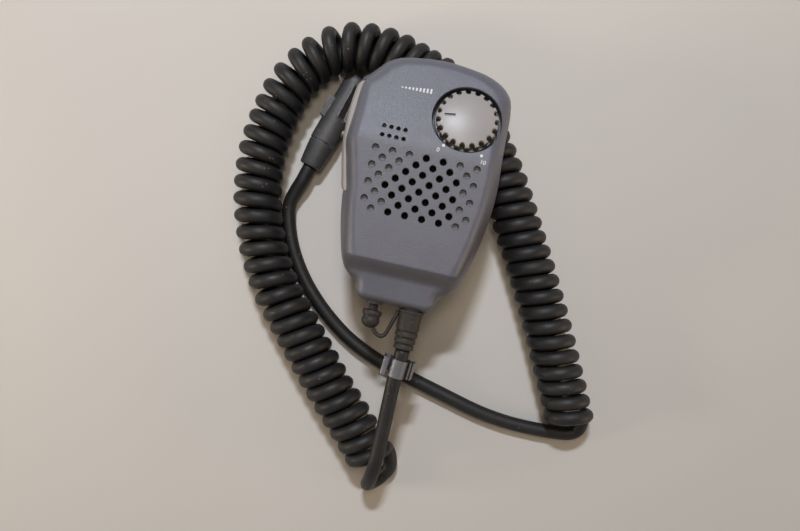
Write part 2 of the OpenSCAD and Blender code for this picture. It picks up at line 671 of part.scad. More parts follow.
module strain_relief() {
    reach = case_bottom + relief_len;
    ribs = 3;
    rib_len = 2.15;
    color([0.12, 0.115, 0.11]) at_relief() {
        y_cylinder(relief_neck_d + 2, neck_inner_y + 0.05, neck_inner_y + 1.3);
        y_cylinder(relief_neck_d, -case_bottom - 1, neck_inner_y + 1);
        y_cylinder(relief_d, -reach + ribs * rib_len, -case_bottom - 0.05);
        for (n = [0:ribs - 1]) {
            y_cylinder(relief_d - 1.5, -reach + n * rib_len, -reach + (n + 1) * rib_len + 0.2);
            y_cylinder(relief_d - 0.3 * (ribs - n), -reach + n * rib_len, -reach + (n + 1) * rib_len - 0.4);
        }
    }
}

// ---- swivel clip ----
plate_gap = 0.2;
plate_top = back_z - swivel_boss_h - plate_gap;
plate_z = plate_top - sheet_t;
washer_t = 0.35;
rivet_head_h = 1.2;
rivet_head_z = plate_z - washer_t - 0.15 - rivet_head_h;
clip_swing = clip_reach + 1.3;  // nothing on the clip reaches further from the swivel axis
hinge_y = 2;
ear_t = 1;
ear_r = 3;
lip_drop = 2.4;
jaw_half = clip_w / 2 - ear_t - 0.6;
module clip_rivet() {
    color([0.6, 0.6, 0.6]) {
        translate([0, 0, rivet_head_z]) cylinder(d = rivet_d, h = floor_z - rivet_head_z + 0.5);
        translate([0, 0, rivet_head_z]) cylinder(d = rivet_d + 3.5, h = rivet_head_h);
        translate([0, 0, floor_z]) cylinder(d = rivet_d + 4, h = 1);
    }
}
module clip_washer() {
    color([0.7, 0.7, 0.7]) translate([0, 0, plate_z - washer_t - 0.05]) difference() {
        cylinder(d = rivet_d + 4, h = washer_t);
        translate([0, 0, -1]) cylinder(d = rivet_d + 2 * fit, h = 2);
    }
}
module hinge_ears(at_x, low_z, high_z) {
    for (side = [-1, 1]) translate([side * (at_x + ear_t / 2), hinge_y, 0]) {
        translate([0, 0, hinge_z]) x_cylinder(2 * ear_r, -ear_t / 2, ear_t / 2);
        block([-ear_t / 2, -ear_r, low_z], [ear_t / 2, ear_r, high_z]);
    }
}
module hinge_bore() {
    translate([0, hinge_y, hinge_z]) x_cylinder(hinge_d + 2 * fit, -clip_w, clip_w);
}
module clip_base() {
    teeth = 6;
    color([0.62, 0.62, 0.63]) difference() {
        union() {
            translate([0, 0, plate_z]) linear_extrude(sheet_t) intersection() {
                circle(r = clip_swing, $fn = 96);
                translate([-clip_w / 2, -clip_reach]) square([clip_w, clip_reach + clip_tab]);
            }
            hinge_ears(clip_w / 2 - ear_t, hinge_z, plate_z + sheet_t / 2);
            block([-6, -clip_reach, plate_z - lip_drop], [6, -clip_reach + sheet_t, plate_z + sheet_t / 2]);
        }
        translate([0, 0, plate_z - 1]) cylinder(d = rivet_d + 2 * fit, h = sheet_t + 2);
        hinge_bore();
        for (n = [1:teeth - 1]) translate([-6 + 12 * n / teeth, 0, plate_z - lip_drop])
            y_cylinder(1.1, -clip_reach - 1, -clip_reach + 3);
    }
}
module clip_jaw() {
    ramp_y = -8.6;
    tip_z = plate_z - lip_drop - plate_gap;
    color([0.6, 0.6, 0.61]) difference() {
        union() {
            intersection() {
                translate([-jaw_half, 0, 0]) rotate([90, 0, 90]) linear_extrude(2 * jaw_half) polygon([
                    [clip_tab, 0], [ramp_y, 0], [-clip_reach + 1.1, tip_z - 1.8], [-clip_reach, tip_z - 1.6],
                    [-clip_reach, tip_z], [-clip_reach + 1.6, tip_z - 0.1], [ramp_y + 0.6, sheet_t],
                    [clip_tab, sheet_t]]);
                translate([0, 0, -1]) cylinder(r = clip_swing, h = plate_z + 1, $fn = 96);
            }
            hinge_ears(jaw_half - ear_t, sheet_t / 2, hinge_z);
        }
        hinge_bore();
    }
}
module clip_pin() {
    half = clip_w / 2 + fit;
    color([0.55, 0.55, 0.56]) translate([0, hinge_y, hinge_z]) {
        x_cylinder(hinge_d, -half - 0.3, half + 0.3);
        for (side = [-1, 1]) translate([side * (half + 0.25), 0, 0]) x_cylinder(hinge_d + 1, -0.25, 0.25);
    }
}
module clip_spring() {
    wire = 0.8;
    inner_d = hinge_d + 2 * gap;
    outer_d = inner_d + 2 * wire;
    coil_half = 4.6;
    reach_y = 9;
    leg_x = coil_half - wire;
    root = outer_d / 2 - wire / 2;
    color([0.5, 0.5, 0.5]) {
        translate([0, hinge_y, hinge_z]) difference() {
            union() {
                x_cylinder(outer_d, -coil_half, coil_half);
                for (leg = [[-leg_x, sheet_t + wire / 2 + 0.1 - hinge_z],
                        [leg_x, plate_z - wire / 2 - 0.1 - hinge_z]])
                    translate([leg[0], root, 0]) rotate([-atan2(reach_y, leg[1]), 0, 0])
                        cylinder(d = wire, h = norm([reach_y, leg[1]]), $fn = 16);
            }
            x_cylinder(inner_d, -clip_w, clip_w);
        }
    }
}

// ---- cord ----
relief_end = [cord_x, -case_bottom - relief_len, seam_z];
clip_from = [6.3, -56.4, 26.8];
clip_to = [5.8, -63.4, 26];
lead_route = concat([relief_end, clip_from, clip_to], [[5.8, -71, 24.8], [5.9, -79, 23.4], [5.9, -87, 22.4],
    [5.8, -94, 21.3], [5.5, -99.4, 18.6], [5.1, -103.8, 13.5], [5, -106, 8], [6.2, -106.6, 4.2],
    [8.8, -104.8, 2.7], [11.2, -101, 3.4], [11.8, -97.2, 5.6], [10.6, -94.7, 6.6], [8.3, -92.1, 6.6]]);
curl_z = 8.8;
curl_route = [[4, -96], [-1, -90.4], [-7.4, -83.6], [-15, -75.8], [-22.4, -67.6], [-29.6, -59.4], [-36.4, -51.4],
    [-42, -44.8], [-46.4, -38], [-51, -29.4], [-54.8, -19.6], [-57.2, -10], [-58.4, 0], [-58.2, 9], [-57, 17.6],
    [-55, 26], [-52, 33], [-47.8, 39], [-43.2, 43.8], [-37.8, 47], [-31.4, 48.7], [-24, 49], [-16, 47.6], [-8, 45],
    [0, 42.4], [7.4, 38.6], [13.2, 33.2], [18, 27.8], [22, 22.6], [27.4, 14.8], [32.4, 6.9], [37.6, -2],
    [42.7, -10.8], [47.9, -20], [52.9, -29.3], [57.9, -38.8], [62.8, -48.7], [67.6, -58.4], [71.6, -67]];
tail_route = [[76.1, -64.9, 4.8], [77.3, -67.5, 4.8], [77, -71, 3.2], [73.6, -73.2, 2.6], [66, -74, 2.6],
    [58.6, -74.2, 2.6], [51, -74, 2.6], [43.5, -73.2, 2.6], [36, -71.8, 2.6], [28, -69.8, 2.6], [20, -67.8, 2.6],
    [12, -65.8, 2.6], [4, -63.6, 2.6], [-5, -60.4, 2.6], [-13, -56.6, 2.6], [-20, -52, 2.6], [-27, -46.2, 2.6],
    [-34, -38.8, 2.6], [-40, -30, 2.6], [-44, -21, 2.6], [-45.8, -13, 2.8],
    [-44.6, -7.6, 3.8], [-42.9, -3.4, 4.8], [-42, -0.2, 4.9]];
module cord_lead() { color([0.14, 0.13, 0.125]) tube(lead_route, cord_d); }
module cord_curl() { color([0.12, 0.12, 0.12]) tube([for (p = curl_route) [p[0], p[1], curl_z]], curl_d, 12); }
module cord_tail() { color([0.12, 0.12, 0.12]) tube(concat(tail_route, [plug_start]), cord_d); }

clip_dir = unit(clip_to - clip_from);
module cord_clip() {
    length = 6.2;
    inner_r = cord_d / 2;
    sheet = 0.5;
    low = -inner_r - sheet;
    color([0.5, 0.5, 0.52]) translate((clip_from + clip_to) / 2)
        rotate([asin(-clip_dir[2]), 0, atan2(clip_dir[0], -clip_dir[1])]) difference() {
            union() {
                y_cylinder(2 * (inner_r + sheet), -length / 2, length / 2);
                block([-5.4, -length / 2, low], [5.5, length / 2, low + sheet]);
                block([-5.4, -length / 2, low], [-5.4 + sheet, length / 2, 2]);
                block([-5.4, -length / 2, 2 - sheet], [-3.6, length / 2, 2]);
                for (x = [3.2, 4.1, 5]) block([x, -length / 2, low], [x + sheet, length / 2, 1.4 - x * 0.3]);
            }
            y_cylinder(2 * inner_r, -length, length);
        }
}

// ---- plug ----
plug_turn = -16;
plug_z = 4.9;
plug_start = [-41.2, 2.6, plug_z];
end_r = 4;
plug_len = plug_sleeve_len + plug_body_len;
pin_y = plug_sleeve_len + 6.4;
pin_root = 1.4;
root_step = 0.3;         // a pin is thinner inside the plug, on the radius
module in_plug() { translate(plug_start) rotate([0, 0, plug_turn]) children(); }
module plug_sleeve() {
    color([0.12, 0.12, 0.12]) in_plug() rotate([-90, 0, 0])
        cylinder(d1 = plug_w - 1.9, d2 = plug_w - 0.2, h = plug_sleeve_len);
}
module plug_body() {
    color([0.13, 0.13, 0.13]) in_plug() difference() {
        union() {
            hull() {
                y_cylinder(plug_w, plug_sleeve_len, plug_sleeve_len + 1);
                translate([0, plug_len - end_r - 1, -0.7]) sphere(r = end_r, $fn = 32);
                translate([0, plug_len - end_r, -0.7]) sphere(r = end_r, $fn = 32);
            }
            block([-plug_w / 2 - 0.7, plug_sleeve_len + 8.6, -2.4], [-2, plug_sleeve_len + 16.6, 2.4]);
            block([2, pin_y - 3, -2.3], [plug_w / 2, pin_y + pin_pitch + 2.5, 2.3]);
        }
        translate([0, pin_y, 0]) x_cylinder(pin_large_d - 2 * root_step + 2 * fit, pin_root - 0.1, plug_w);
        translate([0, pin_y + pin_pitch, 0])
            x_cylinder(pin_small_d - 2 * root_step + 2 * fit, pin_root - 0.1, plug_w);
    }
}
// A pin with its shoulder on the plug's flat side
module jack_pin(d, shank, tip) {
    r = d / 2;
    root = pin_root - plug_w / 2;
    color([0.75, 0.73, 0.65]) translate([plug_w / 2, 0, 0]) rotate([0, 90, 0]) rotate_extrude() polygon([
        [0, root], [r - root_step, root], [r - root_step, 0], [r, 0], [r, shank], [r - 0.5, shank + 0.7],
        [r - 0.5, shank + 1], [r - 0.1, shank + 1.7], [r - 0.3, shank + tip - 0.6], [0, shank + tip]]);
}
module plug_pin_large() { in_plug() translate([0, pin_y, 0]) jack_pin(pin_large_d, 10.2, 3.6); }
module plug_pin_small() { in_plug() translate([0, pin_y + pin_pitch, 0]) jack_pin(pin_small_d, 8, 2.8); }

front_case();
rear_case();
case_screws();
circuit_board();
speaker_basket();
speaker_cone();
speaker_magnet();
speaker_cloth();
mic_capsule();
mic_boot();
volume_pot();
pot_shaft();
volume_knob();
ptt_bar();
ptt_switch();
key_left();
key_middle();
key_right();
key_switches();
key_board();
lock_slider();
lock_switch();
earphone_socket();
socket_cap();
cap_tether();
strain_relief();
clip_rivet();
clip_washer();
clip_base();
clip_pin();
clip_spring();
clip_jaw();
cord_clip();
cord_lead();
cord_curl();
cord_tail();
plug_body();
plug_sleeve();
plug_pin_large();
plug_pin_small();
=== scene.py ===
import json
import math

import bmesh
import bpy
from mathutils import Matrix, Vector
from mathutils.bvhtree import BVHTree


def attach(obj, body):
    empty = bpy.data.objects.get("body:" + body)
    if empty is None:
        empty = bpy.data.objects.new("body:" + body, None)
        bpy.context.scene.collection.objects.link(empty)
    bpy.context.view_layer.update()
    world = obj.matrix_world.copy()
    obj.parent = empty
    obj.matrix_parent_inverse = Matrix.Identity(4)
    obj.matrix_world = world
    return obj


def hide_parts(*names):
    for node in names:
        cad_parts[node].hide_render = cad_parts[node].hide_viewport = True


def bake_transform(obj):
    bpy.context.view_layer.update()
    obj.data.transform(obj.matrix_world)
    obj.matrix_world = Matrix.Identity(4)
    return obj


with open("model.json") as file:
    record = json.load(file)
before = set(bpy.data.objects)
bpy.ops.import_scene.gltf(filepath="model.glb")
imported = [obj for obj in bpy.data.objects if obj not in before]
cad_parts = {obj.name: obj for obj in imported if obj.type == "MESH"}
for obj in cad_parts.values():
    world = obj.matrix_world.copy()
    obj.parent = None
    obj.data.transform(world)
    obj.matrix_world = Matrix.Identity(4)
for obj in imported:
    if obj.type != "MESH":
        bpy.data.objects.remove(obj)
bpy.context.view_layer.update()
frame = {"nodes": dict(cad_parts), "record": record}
cadNodes = frame["nodes"]
print("frame loaded:", len(cadNodes), "nodes")

mm = 0.001
pictureUp = Vector((-0.2185, 0.976, 0))
pictureRight = Vector((0.976, 0.2185, 0))


def placed(name, data):  # a mesh, curve, lamp or camera as an object of the scene
    item = bpy.data.objects.new(name, data)
    bpy.context.collection.objects.link(item)
    return item


cameraView = {"place": (-0.75, -25.8, 273), "turn": 12.62, "lens": 32.67}

cameraData = bpy.data.cameras.new("camera")
cameraData.lens = cameraView["lens"]
cameraData.sensor_width = 36
cameraData.clip_start = 0.01
cameraData.clip_end = 10
camera = placed("camera", cameraData)
camera.location = Vector(cameraView["place"]) * mm
camera.rotation_euler = (0, 0, math.radians(cameraView["turn"]))
bpy.context.scene.camera = camera
bpy.context.scene.view_settings.view_transform = "Standard"


def newPiece(name, points, faces, smooth=True):
    mesh = bpy.data.meshes.new(name)
    mesh.from_pydata([tuple(p) for p in points], [], faces)
    mesh.validate()
    mesh.polygons.foreach_set("use_smooth", [smooth] * len(mesh.polygons))
    return placed(name, mesh)


# The piece with its modifiers made part of its mesh.
def finished(piece):
    bpy.context.view_layer.update()
    mesh = bpy.data.meshes.new_from_object(piece.evaluated_get(bpy.context.evaluated_depsgraph_get()))
    piece.modifiers.clear()
    piece.data = mesh
    return piece


# Points along a Catmull-Rom curve through the route, about step apart.
def splinePoints(route, step):
    ends = [route[0] * 2 - route[1]] + list(route) + [route[-1] * 2 - route[-2]]
    fine = []
    for i in range(1, len(ends) - 2):
        a, b, c, d = ends[i - 1:i + 3]
        count = max(2, round((c - b).length / (step * 0.25)))
        for k in range(count):
            t = k / count
            fine.append(0.5 * (2 * b + (c - a) * t + (2 * a - 5 * b + 4 * c - d) * t * t
                               + (3 * b - a - 3 * c + d) * t * t * t))
    fine.append(route[-1].copy())
    return evenPoints(fine, step)


def pathLength(points):
    return sum((b - a).length for a, b in zip(points, points[1:]))


def evenPoints(points, step):
    total = pathLength(points)
    count = max(2, round(total / step))
    result, walked, i = [points[0].copy()], 0.0, 0
    for k in range(1, count):
        target = total * k / count
        while walked + (points[i + 1] - points[i]).length < target:
            walked += (points[i + 1] - points[i]).length
            i += 1
        gap = points[i + 1] - points[i]
        result.append(points[i] + gap * ((target - walked) / gap.length))
    result.append(points[-1].copy())
    return result


def bandFaces(levels, sides):  # the quads between rings of the same number of points
    faces = []
    for i in range(levels - 1):
        for j in range(sides):
            a, b = i * sides + j, i * sides + (j + 1) % sides
            faces.append((a, b, b + sides, a + sides))
    return faces


def endFaces(levels, sides):
    last = (levels - 1) * sides
    return [tuple(range(sides - 1, -1, -1)), tuple(range(last, last + sides))]


# A closed tube along the points, with a UV map: across is once round, up is metres along it.
def sweptTube(name, points, radius, sides=16):
    vertices, distances = [], [0.0]
    tangents = [(points[min(i + 1, len(points) - 1)] - points[max(i - 1, 0)]).normalized()
                for i in range(len(points))]
    side = tangents[0].orthogonal().normalized()
    for i, (p, t) in enumerate(zip(points, tangents)):
        side = (side - t * side.dot(t)).normalized()
        other = t.cross(side)
        if i:
            distances.append(distances[-1] + (p - points[i - 1]).length)
        vertices += [p + (side * math.cos(a) + other * math.sin(a)) * radius
                     for a in (2 * math.pi * j / sides for j in range(sides))]
    levels = len(points)
    piece = newPiece(name, vertices, bandFaces(levels, sides) + endFaces(levels, sides))
    uv = piece.data.uv_layers.new(name="along")
    caps = (levels - 1) * sides  # the faces from here on close the two ends
    for f, polygon in enumerate(piece.data.polygons):
        i, j = divmod(f, sides)
        for c, loop in enumerate(polygon.loop_indices):
            if f < caps:
                uv.data[loop].uv = ((j + (c in (1, 2))) / sides, distances[i + (c > 1)])
            else:
                uv.data[loop].uv = (c / sides, 0 if f == caps else distances[-1])
    for polygon in list(piece.data.polygons)[-2:]:
        polygon.use_smooth = False
    return piece


cordPlan = {
    "diameter": 5.0, "turnRadius": 6.3, "pitch": 5.3, "curlHeight": 8.8,
    "startsAt": -10, "endsAt": 200,  # the angles round the curl's line at which its two ends leave it
    "lead": [(6.4, -53.35, 27), (6.3, -56.4, 26.8), (5.8, -63.4, 26), (5.8, -71, 24.8), (5.9, -79, 23.4),
             (5.9, -87, 22.4), (5.8, -94, 21.3), (5.5, -99.4, 18.6), (5.1, -103.8, 13.5), (5, -106, 8),
             (6.2, -106.6, 4.2), (8.8, -104.8, 2.7), (11.2, -101, 3.4)],
    "curl": [(4, -96), (-1, -90.4), (-7.4, -83.6), (-15, -75.8), (-22.4, -67.6), (-29.6, -59.4),
             (-36.4, -51.4), (-42, -44.8), (-46.4, -38), (-51, -29.4), (-54.8, -19.6), (-57.2, -10),
             (-58.4, 0), (-58.2, 9), (-57, 17.6), (-55, 26), (-52, 33), (-47.8, 39), (-43.2, 43.8),
             (-37.8, 47), (-31.4, 48.7), (-24, 49), (-16, 47.6), (-8, 45), (0, 42.4), (7.4, 38.6),
             (13.2, 33.2), (18, 27.8), (22, 22.6), (27.4, 14.8), (32.4, 6.9), (37.6, -2), (42.7, -10.8),
             (47.9, -20), (52.9, -29.3), (57.9, -38.8), (62.8, -48.7), (67.6, -58.4), (71.6, -67)],
    "tail": [(77.3, -67.5, 4.8), (77, -71, 3.2), (73.6, -73.2, 2.6), (66, -74, 2.6), (58.6, -74.2, 2.6),
             (51, -74, 2.6), (43.5, -73.2, 2.6), (36, -71.8, 2.6), (28, -69.8, 2.6), (20, -67.8, 2.6),
             (12, -65.8, 2.6), (4, -63.6, 2.6), (-5, -60.4, 2.6), (-13, -56.6, 2.6), (-20, -52, 2.6),
             (-27, -46.2, 2.6), (-34, -38.8, 2.6), (-40, -30, 2.6), (-44, -21, 2.6), (-45.8, -13, 2.8),
             (-44.6, -7.6, 3.8), (-42.9, -3.4, 4.8), (-42, -0.2, 4.9), (-41.2, 2.6, 4.9)],
}


def inMetres(route, height=None):
    return [Vector((p[0], p[1], p[2] if height is None else height)) * mm for p in route]


# The curly stretch: turns wound left-handed round the curl's own line, wider apart where it bends.
def curlTurns(plan):
    line = splinePoints(inMetres(plan["curl"], plan["curlHeight"]), 0.5 * mm)
    radius, pitch = plan["turnRadius"] * mm, plan["pitch"] * mm
    first, wanted = math.radians(plan["startsAt"]), math.radians(plan["endsAt"])
    step = pathLength(line) / (len(line) - 1)
    bend = []
    for i in range(len(line)):
        a, b, c = line[max(i - 8, 0)], line[i], line[min(i + 8, len(line) - 1)]
        ab, bc = b - a, c - b
        turned = ab.angle(bc) if ab.length > 0 and bc.length > 0 else 0
        bend.append(turned / max(0.5 * (ab.length + bc.length), step))
    angles, angle = [], first
    for i in range(len(line)):
        angles.append(angle)
        spread = 1 + 0.03 * math.sin(i * 0.013) + 0.02 * math.sin(i * 0.041 + 1)
        angle += 2 * math.pi * step / (pitch * spread / (1 - 0.8 * radius * bend[i]))
    turns = round((angles[-1] - wanted) / (2 * math.pi))
    stretch = (turns * 2 * math.pi + wanted - angles[0]) / (angles[-1] - angles[0])
    points = []
    for i, p in enumerate(line):
        t = (line[min(i + 1, len(line) - 1)] - line[max(i - 1, 0)]).normalized()
        side = t.cross(Vector((0, 0, 1)))
        a = angles[0] + (angles[i] - angles[0]) * stretch
        points.append((p, side, a))
    return points, turns


def curlPath(plan):
    rows, turns = curlTurns(plan)
    path, r = [], plan["turnRadius"] * mm
    for (p, side, a), (q, sideQ, b) in zip(rows, rows[1:]):
        count = max(1, round((b - a) / math.radians(14)))  # rings about 14 degrees apart round the turn
        for k in range(count):
            t = k / count
            angle = a + (b - a) * t
            centre = p.lerp(q, t)
            across = side.lerp(sideQ, t).normalized()
            path.append(centre + across * (r * math.cos(angle)) + Vector((0, 0, r * math.sin(angle))))
    return path, turns


# A smooth bridge from the end of one path to the start of the next.
def joined(first, second, pull):
    a, b = first[-1], second[0]
    ta = (first[-1] - first[-3]).normalized() * pull
    tb = (second[2] - second[0]).normalized() * pull
    bridge = []
    count = max(4, round((b - a).length / mm))
    for k in range(1, count):
        t = k / count
        bridge.append(a * (2 * t ** 3 - 3 * t ** 2 + 1) + ta * (t ** 3 - 2 * t ** 2 + t)
                      + b * (-2 * t ** 3 + 3 * t ** 2) + tb * (t ** 3 - t ** 2))
    return bridge


lead = splinePoints(inMetres(cordPlan["lead"]), 1.2 * mm)
curl, turnCount = curlPath(cordPlan)
tail = splinePoints(inMetres(cordPlan["tail"]), 1.2 * mm)
cordPath = lead + joined(lead, curl, 12 * mm) + curl + joined(curl, tail, 9 * mm) + tail
cord = sweptTube("cord", cordPath, cordPlan["diameter"] / 2 * mm, 16)


def addNode(tree, kind, values=None, **settings):
    item = tree.nodes.new(kind)
    for key, value in settings.items():
        setattr(item, key, value)
    for socket, value in (values or {}).items():
        if isinstance(value, bpy.types.NodeSocket):
            tree.links.new(value, item.inputs[socket])
        else:
            item.inputs[socket].default_value = value
    return item


def newGroup(name, inputs, outputs):
    group = bpy.data.node_groups.new(name, "ShaderNodeTree")
    for label, value in inputs.items():
        socket = group.interface.new_socket(label, in_out="INPUT", socket_type="NodeSocketFloat")
        socket.default_value = value
    for label in outputs:
        group.interface.new_socket(label, in_out="OUTPUT", socket_type="NodeSocketFloat")
    return group, group.nodes.new("NodeGroupInput"), group.nodes.new("NodeGroupOutput")


def mathNode(tree, operation, a, b=0.0, clamp=False):
    return addNode(tree, "ShaderNodeMath", {0: a, 1: b}, operation=operation, use_clamp=clamp).outputs[0]


def mapRange(tree, value, low, high, toLow=0.0, toHigh=1.0):
    return addNode(tree, "ShaderNodeMapRange", {"Value": value, "From Min": low, "From Max": high,
                                                "To Min": toLow, "To Max": toHigh}).outputs["Result"]


def noiseAt(tree, place, scale, detail, **more):
    values = {"Vector": place, "Scale": scale, "Detail": detail, **more}
    return addNode(tree, "ShaderNodeTexNoise", values).outputs["Fac"]


# Fine moulded grain as a height, and slow blotches as a tone between 0 and 1.
def grainGroup():
    tree, start, end = newGroup("mouldedGrain", {"Cells per Metre": 4000.0}, ["Height", "Tone"])
    place = addNode(tree, "ShaderNodeTexCoord").outputs["Object"]
    tree.links.new(noiseAt(tree, place, start.outputs[0], 3.0, Roughness=0.6), end.inputs["Height"])
    tree.links.new(noiseAt(tree, place, 90.0, 4.0, Roughness=0.65), end.inputs["Tone"])
    return tree


# Where edges are rubbed and catch light: the bevelled normal leaves the true one; the edges it marks are
# lightened, partly as wear and partly as a painted highlight.
def wearAndGlintGroup():
    tree, start, end = newGroup("edgeWearAndGlint", {"Radius": 0.0006, "Amount": 1.0}, ["Mask"])
    bevel = addNode(tree, "ShaderNodeBevel", {"Radius": start.outputs["Radius"]}, samples=4)
    true = addNode(tree, "ShaderNodeNewGeometry")
    facing = addNode(tree, "ShaderNodeVectorMath", {0: bevel.outputs[0], 1: true.outputs["Normal"]},
                     operation="DOT_PRODUCT").outputs["Value"]
    edge = mapRange(tree, facing, 0.995, 0.88)
    place = addNode(tree, "ShaderNodeTexCoord").outputs["Object"]
    broken = noiseAt(tree, place, 420.0, 5.0)
    patchy = mathNode(tree, "MULTIPLY", edge, mapRange(tree, broken, 0.42, 0.6))
    tree.links.new(mathNode(tree, "MULTIPLY", patchy, start.outputs["Amount"], True), end.inputs["Mask"])
    return tree


# Specks and a thin film of dust on what faces up.
def dustGroup():
    tree, start, end = newGroup("settledDust", {"Film": 0.1, "Specks": 0.5}, ["Mask"])
    place = addNode(tree, "ShaderNodeTexCoord").outputs["Object"]
    normal = addNode(tree, "ShaderNodeSeparateXYZ",
                     {0: addNode(tree, "ShaderNodeNewGeometry").outputs["Normal"]}).outputs["Z"]
    up = mapRange(tree, normal, -0.1, 0.9)
    cloud = noiseAt(tree, place, 160.0, 6.0, Roughness=0.7)
    film = mathNode(tree, "MULTIPLY", mapRange(tree, cloud, 0.35, 0.75), start.outputs["Film"])
    cell = addNode(tree, "ShaderNodeTexVoronoi", {"Vector": place, "Scale": 700.0}).outputs["Distance"]
    gate = noiseAt(tree, place, 230.0, 2.0)
    speck = mathNode(tree, "MULTIPLY", mapRange(tree, cell, 0.22, 0.08), mapRange(tree, gate, 0.6, 0.68))
    specks = mathNode(tree, "MULTIPLY", speck, start.outputs["Specks"])
    both = mathNode(tree, "MAXIMUM", film, specks)
    tree.links.new(mathNode(tree, "MULTIPLY", both, up, True), end.inputs["Mask"])
    return tree


grain, wearAndGlint, dust = grainGroup(), wearAndGlintGroup(), dustGroup()


# A colour written as 0 to 255, as the shaders want it.
def tone(red, green, blue):
    def straight(v):
        v /= 255
        return v / 12.92 if v <= 0.04045 else ((v + 0.055) / 1.055) ** 2.4
    return (straight(red), straight(green), straight(blue), 1.0)


def scaled(colour, factor):
    return tuple(min(1.0, c * factor) for c in colour[:3]) + (1.0,)


def mixColour(tree, fac, a, b):
    item = tree.nodes.new("ShaderNodeMix")
    item.data_type = "RGBA"
    for socket, value in ((0, fac), (6, a), (7, b)):
        if isinstance(value, bpy.types.NodeSocket):
            tree.links.new(value, item.inputs[socket])
        else:
            item.inputs[socket].default_value = value
    return item.outputs[2]


def newMaterial(name):
    material = bpy.data.materials.new(name)
    material.use_nodes = True
    return material, material.node_tree, material.node_tree.nodes["Principled BSDF"]


def groupNode(tree, group, values):
    item = addNode(tree, "ShaderNodeGroup", node_tree=group)
    for label, value in values.items():
        item.inputs[label].default_value = value
    return item


# A material from a dictionary: colour, roughness, grain, wear with a painted edge highlight, dust and painted
# shade.
def surface(name, look):
    material, tree, shader = newMaterial(name)
    shader.inputs["Metallic"].default_value = look.get("metallic", 0.0)
    shader.inputs["Specular IOR Level"].default_value = look.get("specular", 0.5)
    grainNode = groupNode(tree, grain, {"Cells per Metre": look.get("cells", 4000.0)})
    base = look["colour"]
    spread = look.get("spread", 0.12)
    slow = mapRange(tree, grainNode.outputs["Tone"], 0.3, 0.7)
    colour = mixColour(tree, slow, scaled(base, 1 - spread), scaled(base, 1 + spread))
    rough = look["roughness"]
    roughness = mapRange(tree, grainNode.outputs["Tone"], 0.3, 0.7, rough - 0.05, rough + 0.05)
    # Lighter edges: partly wear, partly a painted highlight along the edges.
    if look.get("wearAndGlint"):
        wearAndGlintSettings = {"Radius": look.get("wearAndGlintRadius", 0.0005), "Amount": look["wearAndGlint"]}
        mask = groupNode(tree, wearAndGlint, wearAndGlintSettings).outputs[0]
        colour = mixColour(tree, mask, colour, look.get("wearAndGlintColour", scaled(base, 1.7)))
    if look.get("dust"):
        film, specks = look["dust"]
        mask = groupNode(tree, dust, {"Film": film, "Specks": specks}).outputs[0]
        colour = mixColour(tree, mask, colour, look.get("dustColour", tone(150, 140, 125)))
        roughness = mathNode(tree, "ADD", roughness, mathNode(tree, "MULTIPLY", mask, 0.4), True)
    # Painted shade: where a piece's points carry a shade share, the colour darkens towards the shade colour.
    if look.get("painted_shade"):
        share, shadeColour = look["painted_shade"]
        deep = addNode(tree, "ShaderNodeAttribute", attribute_name="painted_shade").outputs["Fac"]
        colour = mixColour(tree, mathNode(tree, "MULTIPLY", deep, share), colour, shadeColour)
    tree.links.new(colour, shader.inputs["Base Color"])
    tree.links.new(roughness, shader.inputs["Roughness"])
    bump = addNode(tree, "ShaderNodeBump", {"Height": grainNode.outputs["Height"],
                                            "Strength": look.get("bump", 0.25),
                                            "Distance": look.get("depth", 0.00008)})
    tree.links.new(bump.outputs["Normal"], shader.inputs["Normal"])
    return material


